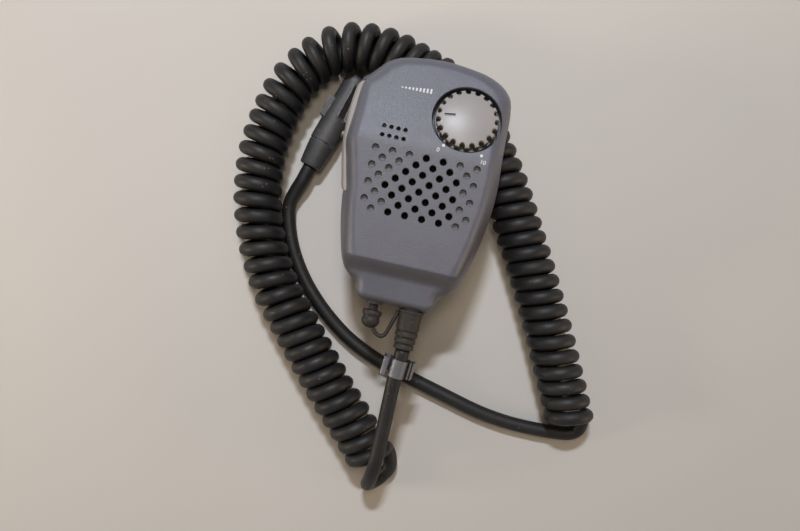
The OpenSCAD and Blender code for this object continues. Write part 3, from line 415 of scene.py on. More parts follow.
looks = {
    # housing_plastic paints shade on the knob recess with its dark shade colour; its lighter edge colour is
    # partly wear, partly a painted sheen along the edges.
    "housing_plastic": {"colour": tone(90, 92, 103), "roughness": 0.36, "specular": 0.46, "cells": 2600,
                        "bump": 0.8, "depth": 0.00015, "spread": 0.07, "wearAndGlint": 0.4,
                        "wearAndGlintColour": tone(135, 130, 130), "dust": (0.05, 0.25),
                        "painted_shade": (0.8, tone(34, 34, 38))},
    # knob_plastic paints shade into the pointer slot, the notches and the skirt with its dark brown shade
    # colour.
    "knob_plastic": {"colour": tone(150, 147, 147), "roughness": 0.38, "cells": 4200, "bump": 0.25,
                     "spread": 0.04, "wearAndGlint": 0.3, "dust": (0.05, 0.3), "painted_shade": (0.9, tone(58, 53, 43))},
    # bar_plastic's lighter edge colour is partly wear, partly a painted highlight along the bar's edges.
    "bar_plastic": {"colour": tone(148, 144, 143), "roughness": 0.42, "specular": 0.45, "cells": 4200,
                    "bump": 0.2, "spread": 0.05, "wearAndGlint": 0.3, "wearAndGlintColour": tone(190, 186, 188),
                    "dust": (0.08, 0.4), "dustColour": tone(120, 108, 95)},
    "key_plastic": {"colour": tone(74, 74, 78), "roughness": 0.45, "cells": 4200, "bump": 0.3, "wearAndGlint": 0.4},
    "dark_parts": {"colour": tone(34, 34, 36), "roughness": 0.5, "cells": 3000, "bump": 0.3},
    "board": {"colour": tone(40, 92, 62), "roughness": 0.3, "cells": 2600, "bump": 0.2},
    "screw_steel": {"colour": tone(128, 126, 124), "roughness": 0.38, "metallic": 1.0, "cells": 5000,
                    "bump": 0.3},
    "speaker_frame": {"colour": tone(170, 170, 172), "roughness": 0.4, "metallic": 1.0, "cells": 2600},
    "cloth": {"colour": tone(9, 9, 9), "specular": 0.1, "roughness": 0.9, "cells": 2200, "bump": 0.8,
              "depth": 0.0002},
    "cone_paper": {"colour": tone(30, 29, 29), "roughness": 0.8, "cells": 2200, "bump": 0.5},
    "capsule_metal": {"colour": tone(58, 58, 60), "roughness": 0.6, "metallic": 0.3},
    "soft_rubber": {"colour": tone(34, 31, 29), "roughness": 0.58, "specular": 0.34, "cells": 2600,
                    "bump": 0.45, "depth": 0.00012, "spread": 0.15, "dust": (0.06, 0.5)},
    # plug_rubber's pale edge colour paints a highlight line along the plug's ridge.
    "plug_rubber": {"colour": tone(49, 50, 53), "roughness": 0.47, "cells": 2600, "bump": 0.5,
                    "depth": 0.0001, "spread": 0.15, "dust": (0.14, 0.8), "wearAndGlint": 1.0,
                    "wearAndGlintRadius": 0.0006, "wearAndGlintColour": tone(160, 158, 158)},
    "clip_metal": {"colour": tone(112, 114, 120), "roughness": 0.46, "metallic": 0.8, "cells": 3000,
                   "bump": 0.5, "spread": 0.1, "dust": (0.15, 0.5), "dustColour": tone(90, 80, 70)},
    "spring_steel": {"colour": tone(140, 138, 136), "roughness": 0.35, "metallic": 1.0, "cells": 3000},
    "pin_metal": {"colour": tone(110, 107, 102), "roughness": 0.5, "metallic": 0.8, "cells": 3000,
                  "bump": 0.1},
}
materials = {name: surface(name, look) for name, look in looks.items()}


# The cord's jacket: satin, with streaks along it and dust.
jacketLook = {"colour": tone(21, 21, 23), "roughness": 0.5, "specular": 0.33, "cells": 2400.0,
              "dust": (0.045, 0.9), "dustColour": tone(150, 138, 122), "streaks": (14, 60, 1)}


def jacketMaterial(look):
    material, tree, shader = newMaterial("cord_jacket")
    shader.inputs["Specular IOR Level"].default_value = look["specular"]
    along = addNode(tree, "ShaderNodeUVMap", uv_map="along").outputs["UV"]
    stretched = addNode(tree, "ShaderNodeMapping", {"Vector": along, "Scale": look["streaks"]})
    streakPlace = stretched.outputs["Vector"]
    streak = noiseAt(tree, streakPlace, 1.0, 5.0)
    grainNode = groupNode(tree, grain, {"Cells per Metre": look["cells"]})
    slow = mapRange(tree, grainNode.outputs["Tone"], 0.3, 0.7)
    colour = mixColour(tree, slow, scaled(look["colour"], 0.8), scaled(look["colour"], 1.15))
    film, specks = look["dust"]
    mask = groupNode(tree, dust, {"Film": film, "Specks": specks}).outputs[0]
    colour = mixColour(tree, mask, colour, look["dustColour"])
    tree.links.new(colour, shader.inputs["Base Color"])
    rough = mapRange(tree, streak, 0.3, 0.7, look["roughness"] - 0.08, look["roughness"] + 0.1)
    tree.links.new(mathNode(tree, "ADD", rough, mathNode(tree, "MULTIPLY", mask, 0.3), True),
                   shader.inputs["Roughness"])
    height = mathNode(tree, "ADD", grainNode.outputs["Height"], mathNode(tree, "MULTIPLY", streak, 0.8))
    bump = addNode(tree, "ShaderNodeBump", {"Height": height, "Strength": 0.3, "Distance": 0.0001})
    tree.links.new(bump.outputs["Normal"], shader.inputs["Normal"])
    return material


materials["cord_jacket"] = jacketMaterial(jacketLook)
inkMaterial = surface("mark_ink", {"colour": tone(208, 208, 212), "roughness": 0.55, "spread": 0.03,
                                   "bump": 0.15})
print("materials:", len(materials) + 1)


# Gives a finished piece the material of its record slot, attaches it to its body and hides the CAD nodes it
# stands for.
def dress(piece, slot, body, *nodes):
    piece.data.materials.clear()
    piece.data.materials.append(materials[slot])
    if body:
        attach(piece, body)
    if nodes:
        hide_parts(*nodes)
    return piece


for row in frame["record"]["subparts"]:
    carried = cadNodes[row["node"]]
    carried.data.materials.clear()
    carried.data.materials.append(materials[row["material_slot"]])

dress(cord, "cord_jacket", "case", "cord_lead", "cord_curl", "cord_tail")


def solidPiece(name, points, faces, smooth=True):
    return newPiece(name, [Vector(p) * mm for p in points], faces, smooth)


# A closed solid turned round an axis; the profile is (radius, height) from bottom to top.
def lathePiece(name, profile, place, axis, sides=96):
    axis = Vector(axis).normalized()
    side = axis.orthogonal().normalized()
    other = axis.cross(side)
    points = []
    for radius, height in profile:
        middle = Vector(place) + axis * height
        for j in range(sides):
            a = 2 * math.pi * j / sides
            points.append(middle + (side * math.cos(a) + other * math.sin(a)) * max(radius, 0.001))
    return solidPiece(name, points, bandFaces(len(profile), sides) + endFaces(len(profile), sides))


def rodPiece(radius, low, high, place, axis, sides=48):  # a plain round cutter or boss
    return lathePiece("rod", [(radius, low), (radius, high)], place, axis, sides)


def loftPiece(name, rings):
    levels, count = len(rings), len(rings[0])
    faces = bandFaces(levels, count) + endFaces(levels, count)
    return solidPiece(name, [q for ring in rings for q in ring], faces)


boxFaces = [(0, 2, 3, 1), (4, 5, 7, 6), (0, 1, 5, 4), (2, 6, 7, 3), (0, 4, 6, 2), (1, 3, 7, 5)]


def boxPiece(name, low, high):
    points = [(x, y, z) for z in (low[2], high[2]) for y in (low[1], high[1]) for x in (low[0], high[0])]
    return solidPiece(name, points, boxFaces, smooth=False)


def fromBmesh(name, data):
    mesh = bpy.data.meshes.new(name)
    data.to_mesh(mesh)
    data.free()
    return placed(name, mesh)


# Several pieces as one mesh.
def gathered(name, pieces):
    data = bmesh.new()
    for piece in pieces:
        data.from_mesh(piece.data)
        bpy.data.objects.remove(piece)
    return fromBmesh(name, data)


def carved(piece, tool, operation="DIFFERENCE", solver="MANIFOLD"):
    change = piece.modifiers.new("cut", "BOOLEAN")
    change.object = tool
    change.operation = operation
    change.solver = solver
    finished(piece)
    bpy.data.objects.remove(tool)
    return piece


# Merges what touches and keeps only edges above the angle sharp.
def smoothed(piece, angle=30, merge=0.002):
    data = bmesh.new()
    data.from_mesh(piece.data)
    bmesh.ops.remove_doubles(data, verts=data.verts, dist=merge * mm)
    bmesh.ops.dissolve_degenerate(data, edges=data.edges, dist=merge * mm)
    data.to_mesh(piece.data)
    data.free()
    piece.data.shade_smooth()
    piece.data.set_sharp_from_angle(angle=math.radians(angle))
    weighted = piece.modifiers.new("weighted", "WEIGHTED_NORMAL")
    weighted.keep_sharp = True
    return finished(piece)


# Rounds a piece's sharp edges and smooths the rest.
def softened(piece, width, angle=35, segments=2, crease=32):
    data = bmesh.new()
    data.from_mesh(piece.data)
    bmesh.ops.remove_doubles(data, verts=data.verts, dist=1e-6)
    bmesh.ops.dissolve_limit(data, angle_limit=math.radians(1.5), verts=data.verts, edges=data.edges)
    data.to_mesh(piece.data)
    data.free()
    if width:
        bevel = piece.modifiers.new("soften", "BEVEL")
        bevel.width = width * mm
        bevel.segments = segments
        bevel.angle_limit = math.radians(angle)
        bevel.use_clamp_overlap = True
        finished(piece)
    return smoothed(piece, crease)


# A copy of a CAD node's mesh in its world place, to be worked on.
def copyOf(node, name):
    piece = placed(name, cadNodes[node].data.copy())
    piece.data.transform(cadNodes[node].matrix_world)
    return piece


housing = {"width": 51.8, "top": 45, "bottom": 39.75, "widest": 5.5, "frontZ": 38.7, "seamZ": 27, "backZ": 18,
           "wall": 2, "edge": 6, "rearEdge": 0.8, "topEdge": 4, "neckEdge": 2.8, "swell": 3.1, "slope": 15,
           "slopeFrom": 11, "slopeBend": 6, "neckWidth": 28.4, "neckLength": 6.15, "neckZ": 33.4,
           "chinY": 25.6, "chinRamp": 4.8, "neckFall": 9, "groove": 0.14, "neckBlock": -36.75,
           "cordX": 6.4, "jackX": -6.5, "cordBore": 3.4, "jackBore": 2.9,
           "barWindow": ((-36, -5.5), (-20.2, 32.3), 4.6)}
rearLook = {"boss": 7, "rivetHole": 2.55, "screwHole": 2.5,
            "screws": [(-18.5, 33), (20.3, 8.5), (-16.5, -25.6), (16.5, -25.6)],
            "keys": (-7.6, 1.9, 11.4), "keyWindow": (7, 21.1, 26.1), "lockWindow": (7.6, 3.2), "lockY": 31}
upwards, onwards, outwards = (0, 0, 1), (0, 1, 0), (0, -1, 0)  # axes of bores and turned pieces


# From the top down: height, right and left half width, edge radius, how crisp the edge is.
def stationTable(h):
    half, top, edge, swell = h["width"] / 2, h["top"], h["edge"], h["swell"]
    wide, shoulder, end = h["widest"], -h["bottom"] + h["neckLength"], -h["bottom"]
    neck, neckEdge = h["neckWidth"] / 2, h["neckEdge"]
    flank = half + swell
    return [(top, 0, 0, h["topEdge"], 0.2),
            (top - 1, half - 15.4, half - 15.4, h["topEdge"], 0.2),
            (top - 2.2, half - 10.1, half - 10.1, h["topEdge"] + 0.6, 0.25),
            (top - 4.3, half - 5.8, half - 6.2, edge - 0.8, 0.3),
            (top - 7, half - 3, half - 3.6, edge, 0.35),
            (top - 9.4, half - 1.9, flank - 4.5, edge, 0.4),
            (top - 11.6, half - 1.5, flank - 2.3, edge, 0.5),
            (top - 15, half - 1.1, flank - 1.2, edge, 0.6),
            (top - 24, half - 0.8, flank - 0.9, edge, 0.7),
            (wide + 8, half - 0.4, flank - 0.4, edge, 0.75),
            (wide + 4.5, half - 0.15, flank - 0.5, edge, 0.75),
            (wide, half, flank - 1.6, edge, 0.8),
            (wide - 5, half - 0.1, half + 0.4, edge, 0.8),
            (wide - 9.5, half - 0.45, half - 0.7, edge, 0.8),
            (shoulder + 26.1, half - 0.9, half - 0.95, edge, 0.8),
            (shoulder + 19.2, half - 2, half - 2, edge, 0.75),
            (shoulder + 12.1, half - 3.6, half - 3.6, edge, 0.6),
            (shoulder + 6.8, half - 5.1, half - 5.1, edge, 0.4),
            (shoulder + 3.6, half - 6.7, half - 6.7, edge, 0.15),
            (shoulder + 1.3, half - 8.8, half - 8.8, edge - 0.8, 0),
            (shoulder, neck + 0.7, neck + 0.7, neckEdge + 1.4, 0),
            (shoulder - 1.6, neck - 0.1, neck - 0.1, neckEdge + 1, 0),
            (shoulder - 3.8, neck - 0.6, neck - 0.6, neckEdge + 0.4, 0),
            (shoulder - 5.5, neck - 2, neck - 2, neckEdge, 0),
            (end, neck - 4.4, neck - 4.4, neckEdge, 0),
            (end, 0, 0, neckEdge, 0)]


# The closed outline, down the right side and up the left: (x, y, edge radius, crispness).
def outlineOf(h, steps):
    table = stationTable(h)
    mirrored = [(t[0], -t[1], -t[2], t[3], t[4]) for t in (table[1], table[-2])]
    rows = [mirrored[0]] + table + [mirrored[1]]
    line = []
    for a, b, c, d in zip(rows, rows[1:], rows[2:], rows[3:]):
        for k in range(steps):
            t = k / steps
            line.append([0.5 * (2 * q + (r - p) * t + (2 * p - 5 * q + 4 * r - s) * t * t
                                + (3 * q - p - 3 * r + s) * t ** 3) for p, q, r, s in zip(a, b, c, d)])
    line.append(list(table[-1]))
    right = [(s[1], s[0], s[3], s[4]) for s in line]
    left = [(-s[2], s[0], s[3], s[4]) for s in line[-2:0:-1]]
    return right + left


def slopeDrop(h, y):
    u = y - h["slopeFrom"]
    if u <= 0:
        return 0
    bend = h["slopeBend"]
    return math.tan(math.radians(h["slope"])) * (u * u / (2 * bend) if u < bend else u - bend / 2)


def frontRise(h, y):
    t = min(max((-h["chinY"] - y) / h["chinRamp"], 0), 1)
    eased = 0.75 * t + 0.25 * t * t * (3 - 2 * t)
    fall = math.tan(math.radians(h["neckFall"])) * max(0, -h["chinY"] - h["chinRamp"] - y)
    return h["frontZ"] - h["seamZ"] - slopeDrop(h, y) - (h["frontZ"] - h["neckZ"]) * eased - fall


# Keeps both sides of a ring running down, so that it never crosses itself at a tight corner.
def downhill(ring):
    half = len(ring) // 2
    for order in (range(1, half + 1), range(len(ring) - 1, half - 1, -1)):
        last = ring[0]
        for j in order:
            if ring[j].y > last.y - 0.001:
                x = ring[j].x
                ring[j] = Vector((math.copysign(min(abs(x), abs(last.x)), x), last.y - 0.001))
            last = ring[j]
    return ring


# One half of the housing as a closed solid, shrunk on every side by inset.
def halfHousing(name, h, isFront, inset=0.0, steps=8, rings=16):
    outline = outlineOf(h, steps)
    count = len(outline)
    points = []
    for k in range(-1 if not inset else 0, rings + 1):
        t = max(k, 0) / rings
        ring, ups = [], []
        for j, (x, y, radius, crisp) in enumerate(outline):
            before, after = outline[j - 1], outline[(j + 1) % count]
            along = Vector((after[0] - before[0], after[1] - before[1])).normalized()
            inward = Vector((along.y, -along.x))
            r = max(radius * (1 if isFront else h["rearEdge"]) - inset, 0.6)
            weight = 0.7071 + 1.1 * crisp
            corner = 0.62 * crisp
            b0, b1, b2 = (1 - t) ** 2, 2 * weight * t * (1 - t), t * t
            total = b0 + b1 + b2
            across = r * (b1 * corner + b2) / total
            up = (b1 + b2) / total
            if not inset and k == -1:
                across = h["groove"]
            ring.append(Vector((x, y)) + inward * (inset + across))
            ups.append(up)
        for q, up in zip(downhill(ring), ups):
            rise = (frontRise(h, q.y) if isFront else h["seamZ"] - h["backZ"]) - inset
            if not inset and k == 0:
                up = h["groove"] / rise
            height = rise * up
            points.append((q.x, q.y, h["seamZ"] + (height if isFront else -height)))
    levels = len(points) // count
    faces = bandFaces(levels, count)
    top = (levels - 1) * count
    half = count // 2
    for j in range(half):
        ring = [top + j, top + j + 1, top + (count - j - 1) % count, top + (count - j) % count]
        faces.append(tuple(dict.fromkeys(ring)))
    faces.append(tuple(range(count - 1, -1, -1)))
    if not isFront:
        faces = [tuple(reversed(face)) for face in faces]
    return solidPiece(name, points, faces)


grille = {"hole": 2.3, "pitch": 2.8, "rows": 8, "columns": 7, "through": 3, "blind": 1.6, "speaker": 28,
          "chamfer": 0.16, "micHole": 1.4, "micDepth": 3.4, "micColumns": 4, "micPitch": 2.35, "micGap": 3.1,
          "mic": (-12.1, 15.95)}
knobLook = {"place": (10.4, 25.6), "diameter": 21.2, "recess": 23.1, "depth": 3.3, "rise": 2.1, "dome": 36,
            "skirtTop": -2.3, "edge": 0.35, "notches": 19, "notch": 1.9, "notchIn": 0.45, "pointer": 184,
            "slot": (4.2, 7.8, 0.5), "hub": 8.5}
slope = math.radians(housing["slope"])
slopeUp = Vector((0, math.sin(slope), math.cos(slope)))  # the knob's axis
knobCentre = Vector((*knobLook["place"], housing["frontZ"] - slopeDrop(housing, knobLook["place"][1])))


# A Geometry Nodes tree that repeats a cutter, with its sizes as named inputs.
def repeatTree(name, sizes):
    tree = bpy.data.node_groups.new(name, "GeometryNodeTree")
    tree.interface.new_socket("Geometry", in_out="OUTPUT", socket_type="NodeSocketGeometry")
    for label, kind in {"Geometry": "Geometry", **sizes, "Material": "Material"}.items():
        tree.interface.new_socket(label, in_out="INPUT", socket_type="NodeSocket" + kind)
    return tree, tree.nodes.new("NodeGroupInput").outputs, tree.nodes.new("NodeGroupOutput")


def instancesAt(tree, points, chosen, cutter):
    model = addNode(tree, "GeometryNodeObjectInfo", {"Object": cutter})
    return addNode(tree, "GeometryNodeInstanceOnPoints", {"Points": points, "Selection": chosen,
                                                          "Instance": model.outputs["Geometry"]}).outputs[0]


def endTree(tree, size, end, instances):
    solid = addNode(tree, "GeometryNodeRealizeInstances", {0: instances}).outputs[0]
    painted = addNode(tree, "GeometryNodeSetMaterial", {"Geometry": solid, "Material": size["Material"]})
    tree.links.new(painted.outputs[0], end.inputs[0])
    return tree


# Rows of holes, every other row shifted and one shorter; beyond the open radius they are blind.
def staggeredHoles():
    tree, size, end = repeatTree("staggeredHoles", {
        "Columns": "Int", "Rows": "Int", "Column Pitch": "Float", "Row Pitch": "Float", "Stagger": "Float",
        "Row Rise": "Float", "Open Centre": "Vector", "Open Radius": "Float", "Open Cutter": "Object",
        "Blind Cutter": "Object"})

    def centred(number, count):
        return mathNode(tree, "SUBTRACT", number,
                        mathNode(tree, "MULTIPLY", mathNode(tree, "SUBTRACT", count, 1.0), 0.5))

    index = tree.nodes.new("GeometryNodeInputIndex").outputs[0]
    row = mathNode(tree, "FLOOR", mathNode(tree, "DIVIDE", index, size["Columns"]))
    column = mathNode(tree, "MODULO", index, size["Columns"])
    shift = mathNode(tree, "MULTIPLY", mathNode(tree, "MODULO", row, 2.0), size["Stagger"])
    level = mathNode(tree, "MULTIPLY", centred(column, size["Columns"]), size["Column Pitch"])
    x = mathNode(tree, "ADD", level, shift)
    y = mathNode(tree, "MULTIPLY", mathNode(tree, "MULTIPLY", centred(row, size["Rows"]), -1.0),
                 size["Row Pitch"])
    z = mathNode(tree, "MULTIPLY", row, size["Row Rise"])
    place = addNode(tree, "ShaderNodeCombineXYZ", {0: x, 1: y, 2: z}).outputs[0]
    count = mathNode(tree, "MULTIPLY", size["Columns"], size["Rows"])
    points = addNode(tree, "GeometryNodePoints", {"Count": count, "Position": place}).outputs[0]
    halfway = mathNode(tree, "MULTIPLY", mathNode(tree, "SUBTRACT", size["Columns"], 0.5), 0.5)
    inside = mathNode(tree, "LESS_THAN", x, mathNode(tree, "MULTIPLY", halfway, size["Column Pitch"]))
    away = addNode(tree, "ShaderNodeVectorMath", {0: place, 1: size["Open Centre"]},
                   operation="DISTANCE").outputs["Value"]
    through = mathNode(tree, "LESS_THAN", away, size["Open Radius"])
    both = tree.nodes.new("GeometryNodeJoinGeometry")
    blind = mathNode(tree, "SUBTRACT", 1.0, through)
    for cutter, share in (("Open Cutter", through), ("Blind Cutter", blind)):
        chosen = mathNode(tree, "MULTIPLY", inside, share)
        tree.links.new(instancesAt(tree, points, chosen, size[cutter]), both.inputs[0])
    return endTree(tree, size, end, both.outputs[0])


# Notches on a circle in the plane of two unit vectors.
def notchRing():
    tree, size, end = repeatTree("notchRing", {"Count": "Int", "Radius": "Float", "First Angle": "Float",
                                               "Right": "Vector", "Up": "Vector", "Cutter": "Object"})
    index = tree.nodes.new("GeometryNodeInputIndex").outputs[0]
    share = mathNode(tree, "DIVIDE", index, size["Count"])
    angle = mathNode(tree, "ADD", mathNode(tree, "MULTIPLY", share, 2 * math.pi), size["First Angle"])
    parts = []
    for label, operation in (("Right", "COSINE"), ("Up", "SINE")):
        reach = mathNode(tree, "MULTIPLY", mathNode(tree, operation, angle), size["Radius"])
        parts.append(addNode(tree, "ShaderNodeVectorMath", {0: size[label], "Scale": reach},
                             operation="SCALE").outputs[0])
    place = addNode(tree, "ShaderNodeVectorMath", {0: parts[0], 1: parts[1]}, operation="ADD").outputs[0]
    points = addNode(tree, "GeometryNodePoints", {"Count": size["Count"], "Position": place}).outputs[0]
    return endTree(tree, size, end, instancesAt(tree, points, True, size["Cutter"]))


# The tree's result as a plain mesh; the cutters that it repeats are used up.
def repeated(name, tree, values):
    piece = placed(name, bpy.data.meshes.new(name))
    repeat = piece.modifiers.new("repeat", "NODES")
    repeat.node_group = tree
    for socket in tree.interface.items_tree:
        if socket.in_out == "INPUT" and socket.name in values:
            repeat[socket.identifier] = values[socket.name]
    finished(piece)
    for value in values.values():
        if isinstance(value, bpy.types.Object):
            bpy.data.objects.remove(value)
    return piece


holeTree, ringTree = staggeredHoles(), notchRing()


def holeCutter(diameter, depth, chamfer, place, sides):
    r, c = diameter / 2, chamfer
    return lathePiece("hole", [(r, -depth), (r, -c), (r + 2 * c, c), (r + 2 * c, 1)], place, upwards, sides)


# The staggered grille, with its middle holes right through, and the two rows of microphone holes.
def holeCutters(h, g):
    front, pitch = (0, 0, h["frontZ"]), g["pitch"] * mm
    sound = repeated("grilleHoles", holeTree, {
        "Columns": g["columns"], "Rows": g["rows"], "Column Pitch": 2 * pitch, "Row Pitch": pitch,
        "Stagger": pitch, "Row Rise": 0.0, "Open Centre": (0.3 * pitch, -0.7 * pitch, 0),
        "Open Radius": (g["speaker"] / 2 - 1.2) * mm, "Material": materials["housing_plastic"],
        "Open Cutter": holeCutter(g["hole"], g["through"], g["chamfer"], front, 32),
        "Blind Cutter": holeCutter(g["hole"], g["blind"], g["chamfer"], front, 32)})
    x, y = g["mic"]
    high, low = (h["frontZ"] - slopeDrop(h, y + side * g["micGap"]) for side in (0.5, -0.5))
    voice = repeated("micHoles", holeTree, {
        "Columns": g["micColumns"], "Rows": 2, "Column Pitch": g["micPitch"] * mm,
        "Row Pitch": g["micGap"] * mm, "Stagger": 0.0, "Row Rise": (low - high) * mm,
        "Open Centre": (0, 0, 0), "Open Radius": 1.0, "Material": materials["housing_plastic"],
        "Open Cutter": holeCutter(g["micHole"], g["micDepth"], g["chamfer"] * 0.7, (x, y, high), 24)})
    return [sound, voice]


def barWindow(h):
    (left, low), (right, high), reach = h["barWindow"]
    return boxPiece("window", (left, low, h["seamZ"] - reach), (right, high, h["seamZ"] + reach))


def neckBores(h):
    low = -h["bottom"] - 2
    return [rodPiece(h["cordBore"], 0, 7, (h["cordX"], low, h["seamZ"]), onwards),
            rodPiece(h["jackBore"], 0, 8, (h["jackX"], low, h["seamZ"]), onwards)]


# Takes out the inside, with a solid block left at the neck.
def hollowed(shell, h, isFront, block, *cutters):
    cavity = halfHousing("cavity", h, isFront, h["wall"], 4, 8)
    cavity.data.transform(Matrix.Translation((0, 0, -0.00002 if isFront else 0.00002)))
    carved(cavity, boxPiece("neckBlock", (-30, -60, block[0]), (30, h["neckBlock"], block[1])))
    for cutter in cutters:
        carved(cavity, cutter)
    carved(shell, cavity)


# Painted shade as a share for every point, by its distance from the knob's axis and its height along it.
def paintShade(piece, amount):
    layer = piece.data.attributes.new("painted_shade", "FLOAT", "POINT")
    for vertex in piece.data.vertices:
        away = vertex.co * 1000 - knobCentre
        height = away.dot(slopeUp)
        layer.data[vertex.index].value = min(max(amount((away - slopeUp * height).length, height), 0), 1)


def buildFront(h, g, k):
    shell = halfHousing("frontShell", h, True)
    r, depth = k["recess"] / 2, k["depth"]
    hollowed(shell, h, True, (20, 45), rodPiece(r + 1.2, -4.8, 6, knobCentre, slopeUp, 64))
    profile = [(r, -depth), (r, -0.3), (r + 0.5, 0.2), (r + 0.5, 9)]
    recess = lathePiece("recess", profile, knobCentre, slopeUp, 160)
    carved(shell, gathered("cutters", holeCutters(h, g) + [recess]))
    carved(shell, gathered("cutters", [barWindow(h)] + neckBores(h)))
    carved(shell, rodPiece(3.3, -7, -3, knobCentre, slopeUp))
    smoothed(shell, 28, 0.03)
    # Painted shade on the knob recess's wall and floor.
    paintShade(shell, lambda away, z: 1 if away < r + 0.1 and -depth - 0.2 < z < -0.25 else 0)
    return shell


def buildRear(h, k):
    shell = halfHousing("rearShell", h, False)
    hollowed(shell, h, False, (10, 35))
    back = (0, 0, h["backZ"])
    carved(shell, rodPiece(k["boss"], -1, 1, back, upwards, 64), "UNION")
    cutters = [barWindow(h)] + neckBores(h) + [rodPiece(k["rivetHole"], -3, 5, back, upwards)]
    for x, y in k["screws"]:
        cutters.append(rodPiece(k["screwHole"], -1, 3, (x, y, h["backZ"]), upwards, 32))
    wide, low, high = k["keyWindow"]
    for x in k["keys"]:
        cutters.append(boxPiece("keyWindow", (x - wide / 2, 37, low), (x + wide / 2, 50, high)))
    long, tall = k["lockWindow"]
    cutters.append(boxPiece("lockWindow", (-long / 2, k["lockY"] - tall / 2, 16),
                            (long / 2, k["lockY"] + tall / 2, 22)))
    carved(shell, gathered("cutters", cutters))
    return smoothed(shell, 28, 0.03)


frontShell = buildFront(housing, grille, knobLook)
rearShell = buildRear(housing, rearLook)
dress(frontShell, "housing_plastic", "case", "front_case")
dress(rearShell, "housing_plastic", "case", "rear_case")
print("housing:", len(frontShell.data.polygons), "and", len(rearShell.data.polygons), "faces")


def buildKnob(k):
    body = k["diameter"] / 2 - 0.4
    low = 0.3 - k["depth"]

    def dome(r):
        return k["rise"] - k["dome"] + math.sqrt(k["dome"] ** 2 - r * r)

    skirt, ledge, edge = k["diameter"] / 2, k["skirtTop"], k["edge"]
    profile = [(0.001, low), (skirt, low), (skirt, ledge - 0.1), (skirt - 0.1, ledge), (body, ledge)]
    profile += [(body - edge * (1 - math.cos(a)), dome(body) - edge + 0.33 * math.sin(a))
                for a in (math.radians(d) for d in (0, 30, 60, 85))]
    profile += [(body * f, dome(body * f))
                for f in (0.94, 0.9, 0.82, 0.74, 0.66, 0.56, 0.46, 0.36, 0.26, 0.16, 0.08, 0.001)]
    knob = lathePiece("knob", profile, knobCentre, slopeUp, 190)
    right = Vector((1, 0, 0))
    up = slopeUp.cross(right)
    reach, r = body - k["notchIn"], k["notch"] / 2
    top = dome(reach)
    profile = [(r, -2.2), (r, top - 0.1), (r + 0.16, top + 0.1), (r + 0.16, 4)]
    carved(knob, repeated("notches", ringTree, {
        "Count": k["notches"], "Radius": reach * mm, "First Angle": math.radians(-90), "Right": tuple(right),
        "Up": tuple(up), "Cutter": lathePiece("notch", profile, knobCentre, slopeUp, 32),
        "Material": materials["knob_plastic"]}))
    a = math.radians(k["pointer"])
    ahead, across = right * math.cos(a) + up * math.sin(a), up * math.cos(a) - right * math.sin(a)
    near, far, half = k["slot"]
    corners = [knobCentre + ahead * f + across * s + slopeUp * (dome(f) + z)
               for z in (-0.6, 1) for s in (-half, half) for f in (near, far)]
    carved(knob, solidPiece("slot", corners, boxFaces))
    smoothed(knob, 30)
    # Painted shade: the pointer slot's floor is darkened, and beyond the hub the notches and skirt darken the
    # deeper they lie.
    paintShade(knob, lambda r, z: (0.75 if z < dome(r) - 0.3 else 0) if r < k["hub"] else (0.3 - z) / 1.8)
    return knob


knob = buildKnob(knobLook)
dress(knob, "knob_plastic", "knob", "volume_knob")
print("knob:", len(knob.data.polygons), "faces")


barLook = {"outer": [(-24.9, -5.4), (-26, -3.8), (-26.8, 0), (-27.8, 4.6), (-28.7, 10), (-29, 15),
                     (-29.1, 20), (-28.7, 26), (-28, 30.4), (-27, 31.8)],
           "inner": -22.8, "height": 8.6, "flange": ((-23.4, 6), (-22.2, 23), 5.1),
           "section": [(1.3, 0), (1.12, -0.05), (0.95, -0.22), (0.62, -0.9), (0.3, -1.8), (0.1, -2.7),
                       (0, -3.6)]}


# A bar whose outer edge follows a line; its section is a flat top with a steep, slightly bowed outer face.
def buildBar(look):
    middle, half = housing["seamZ"], look["height"] / 2
    rings = []
    for edge in splinePoints([Vector((x, y, 0)) for x, y in look["outer"]], 0.6):
        share = min(1, (look["inner"] - edge.x) / 3.2)  # the section shrinks where the bar gets thin
        upper = [(edge.x + across * share, edge.y, middle + half + down * share)
                 for across, down in look["section"]]
        lower = [(x, y, 2 * middle - z) for x, y, z in reversed(upper)]
        rings.append([(look["inner"], edge.y, middle + half)] + upper + lower
                     + [(look["inner"], edge.y, middle - half)])
    slab = loftPiece("pressBar", rings)
    (left, low), (right, high), reach = look["flange"]
    flange = boxPiece("flange", (left, low, middle - reach), (right, high, middle + reach))
    carved(slab, flange, "UNION")
    return smoothed(slab, 24)


pressBar = buildBar(barLook)
dress(pressBar, "bar_plastic", "ptt", "ptt_bar")


cordMouth, jackMouth = ((housing[x], 0, housing["seamZ"]) for x in ("cordX", "jackX"))
reliefLook = {"barrel": 4.0, "ribs": 3, "ribLength": 2.15, "end": 53.35, "groove": 0.45}


def buildRelief(k):
    start = k["end"] - k["ribs"] * k["ribLength"]
    profile = [(0.001, 35), (3.2, 35), (3.2, 39.65), (k["barrel"] - 0.15, 39.8), (k["barrel"], 40.1)]
    profile += [(k["barrel"] - 0.12, start - 0.45), (k["barrel"] - 0.3, start - 0.2)]
    for n in range(k["ribs"]):
        near, far = start + n * k["ribLength"], start + (n + 1) * k["ribLength"]
        wide = k["barrel"] - 0.15 - 0.2 * n
        profile += [(wide - k["groove"], near - 0.1), (wide - k["groove"], near + 0.12),
                    (wide - 0.18, near + 0.3), (wide - 0.04, near + 0.6), (wide, near + 1.0),
                    (wide + 0.02, far - 0.42), (wide - 0.12, far - 0.22)]
    profile += [(wide - 0.7, far), (2.55, far), (0.001, far)]
    return lathePiece("strainRelief", profile, cordMouth, outwards, 72)


capLook = {"face": 42.55, "stem": 1.7, "flange": 3.3, "bulb": 3.1, "ribs": 4, "ribLength": 0.62}


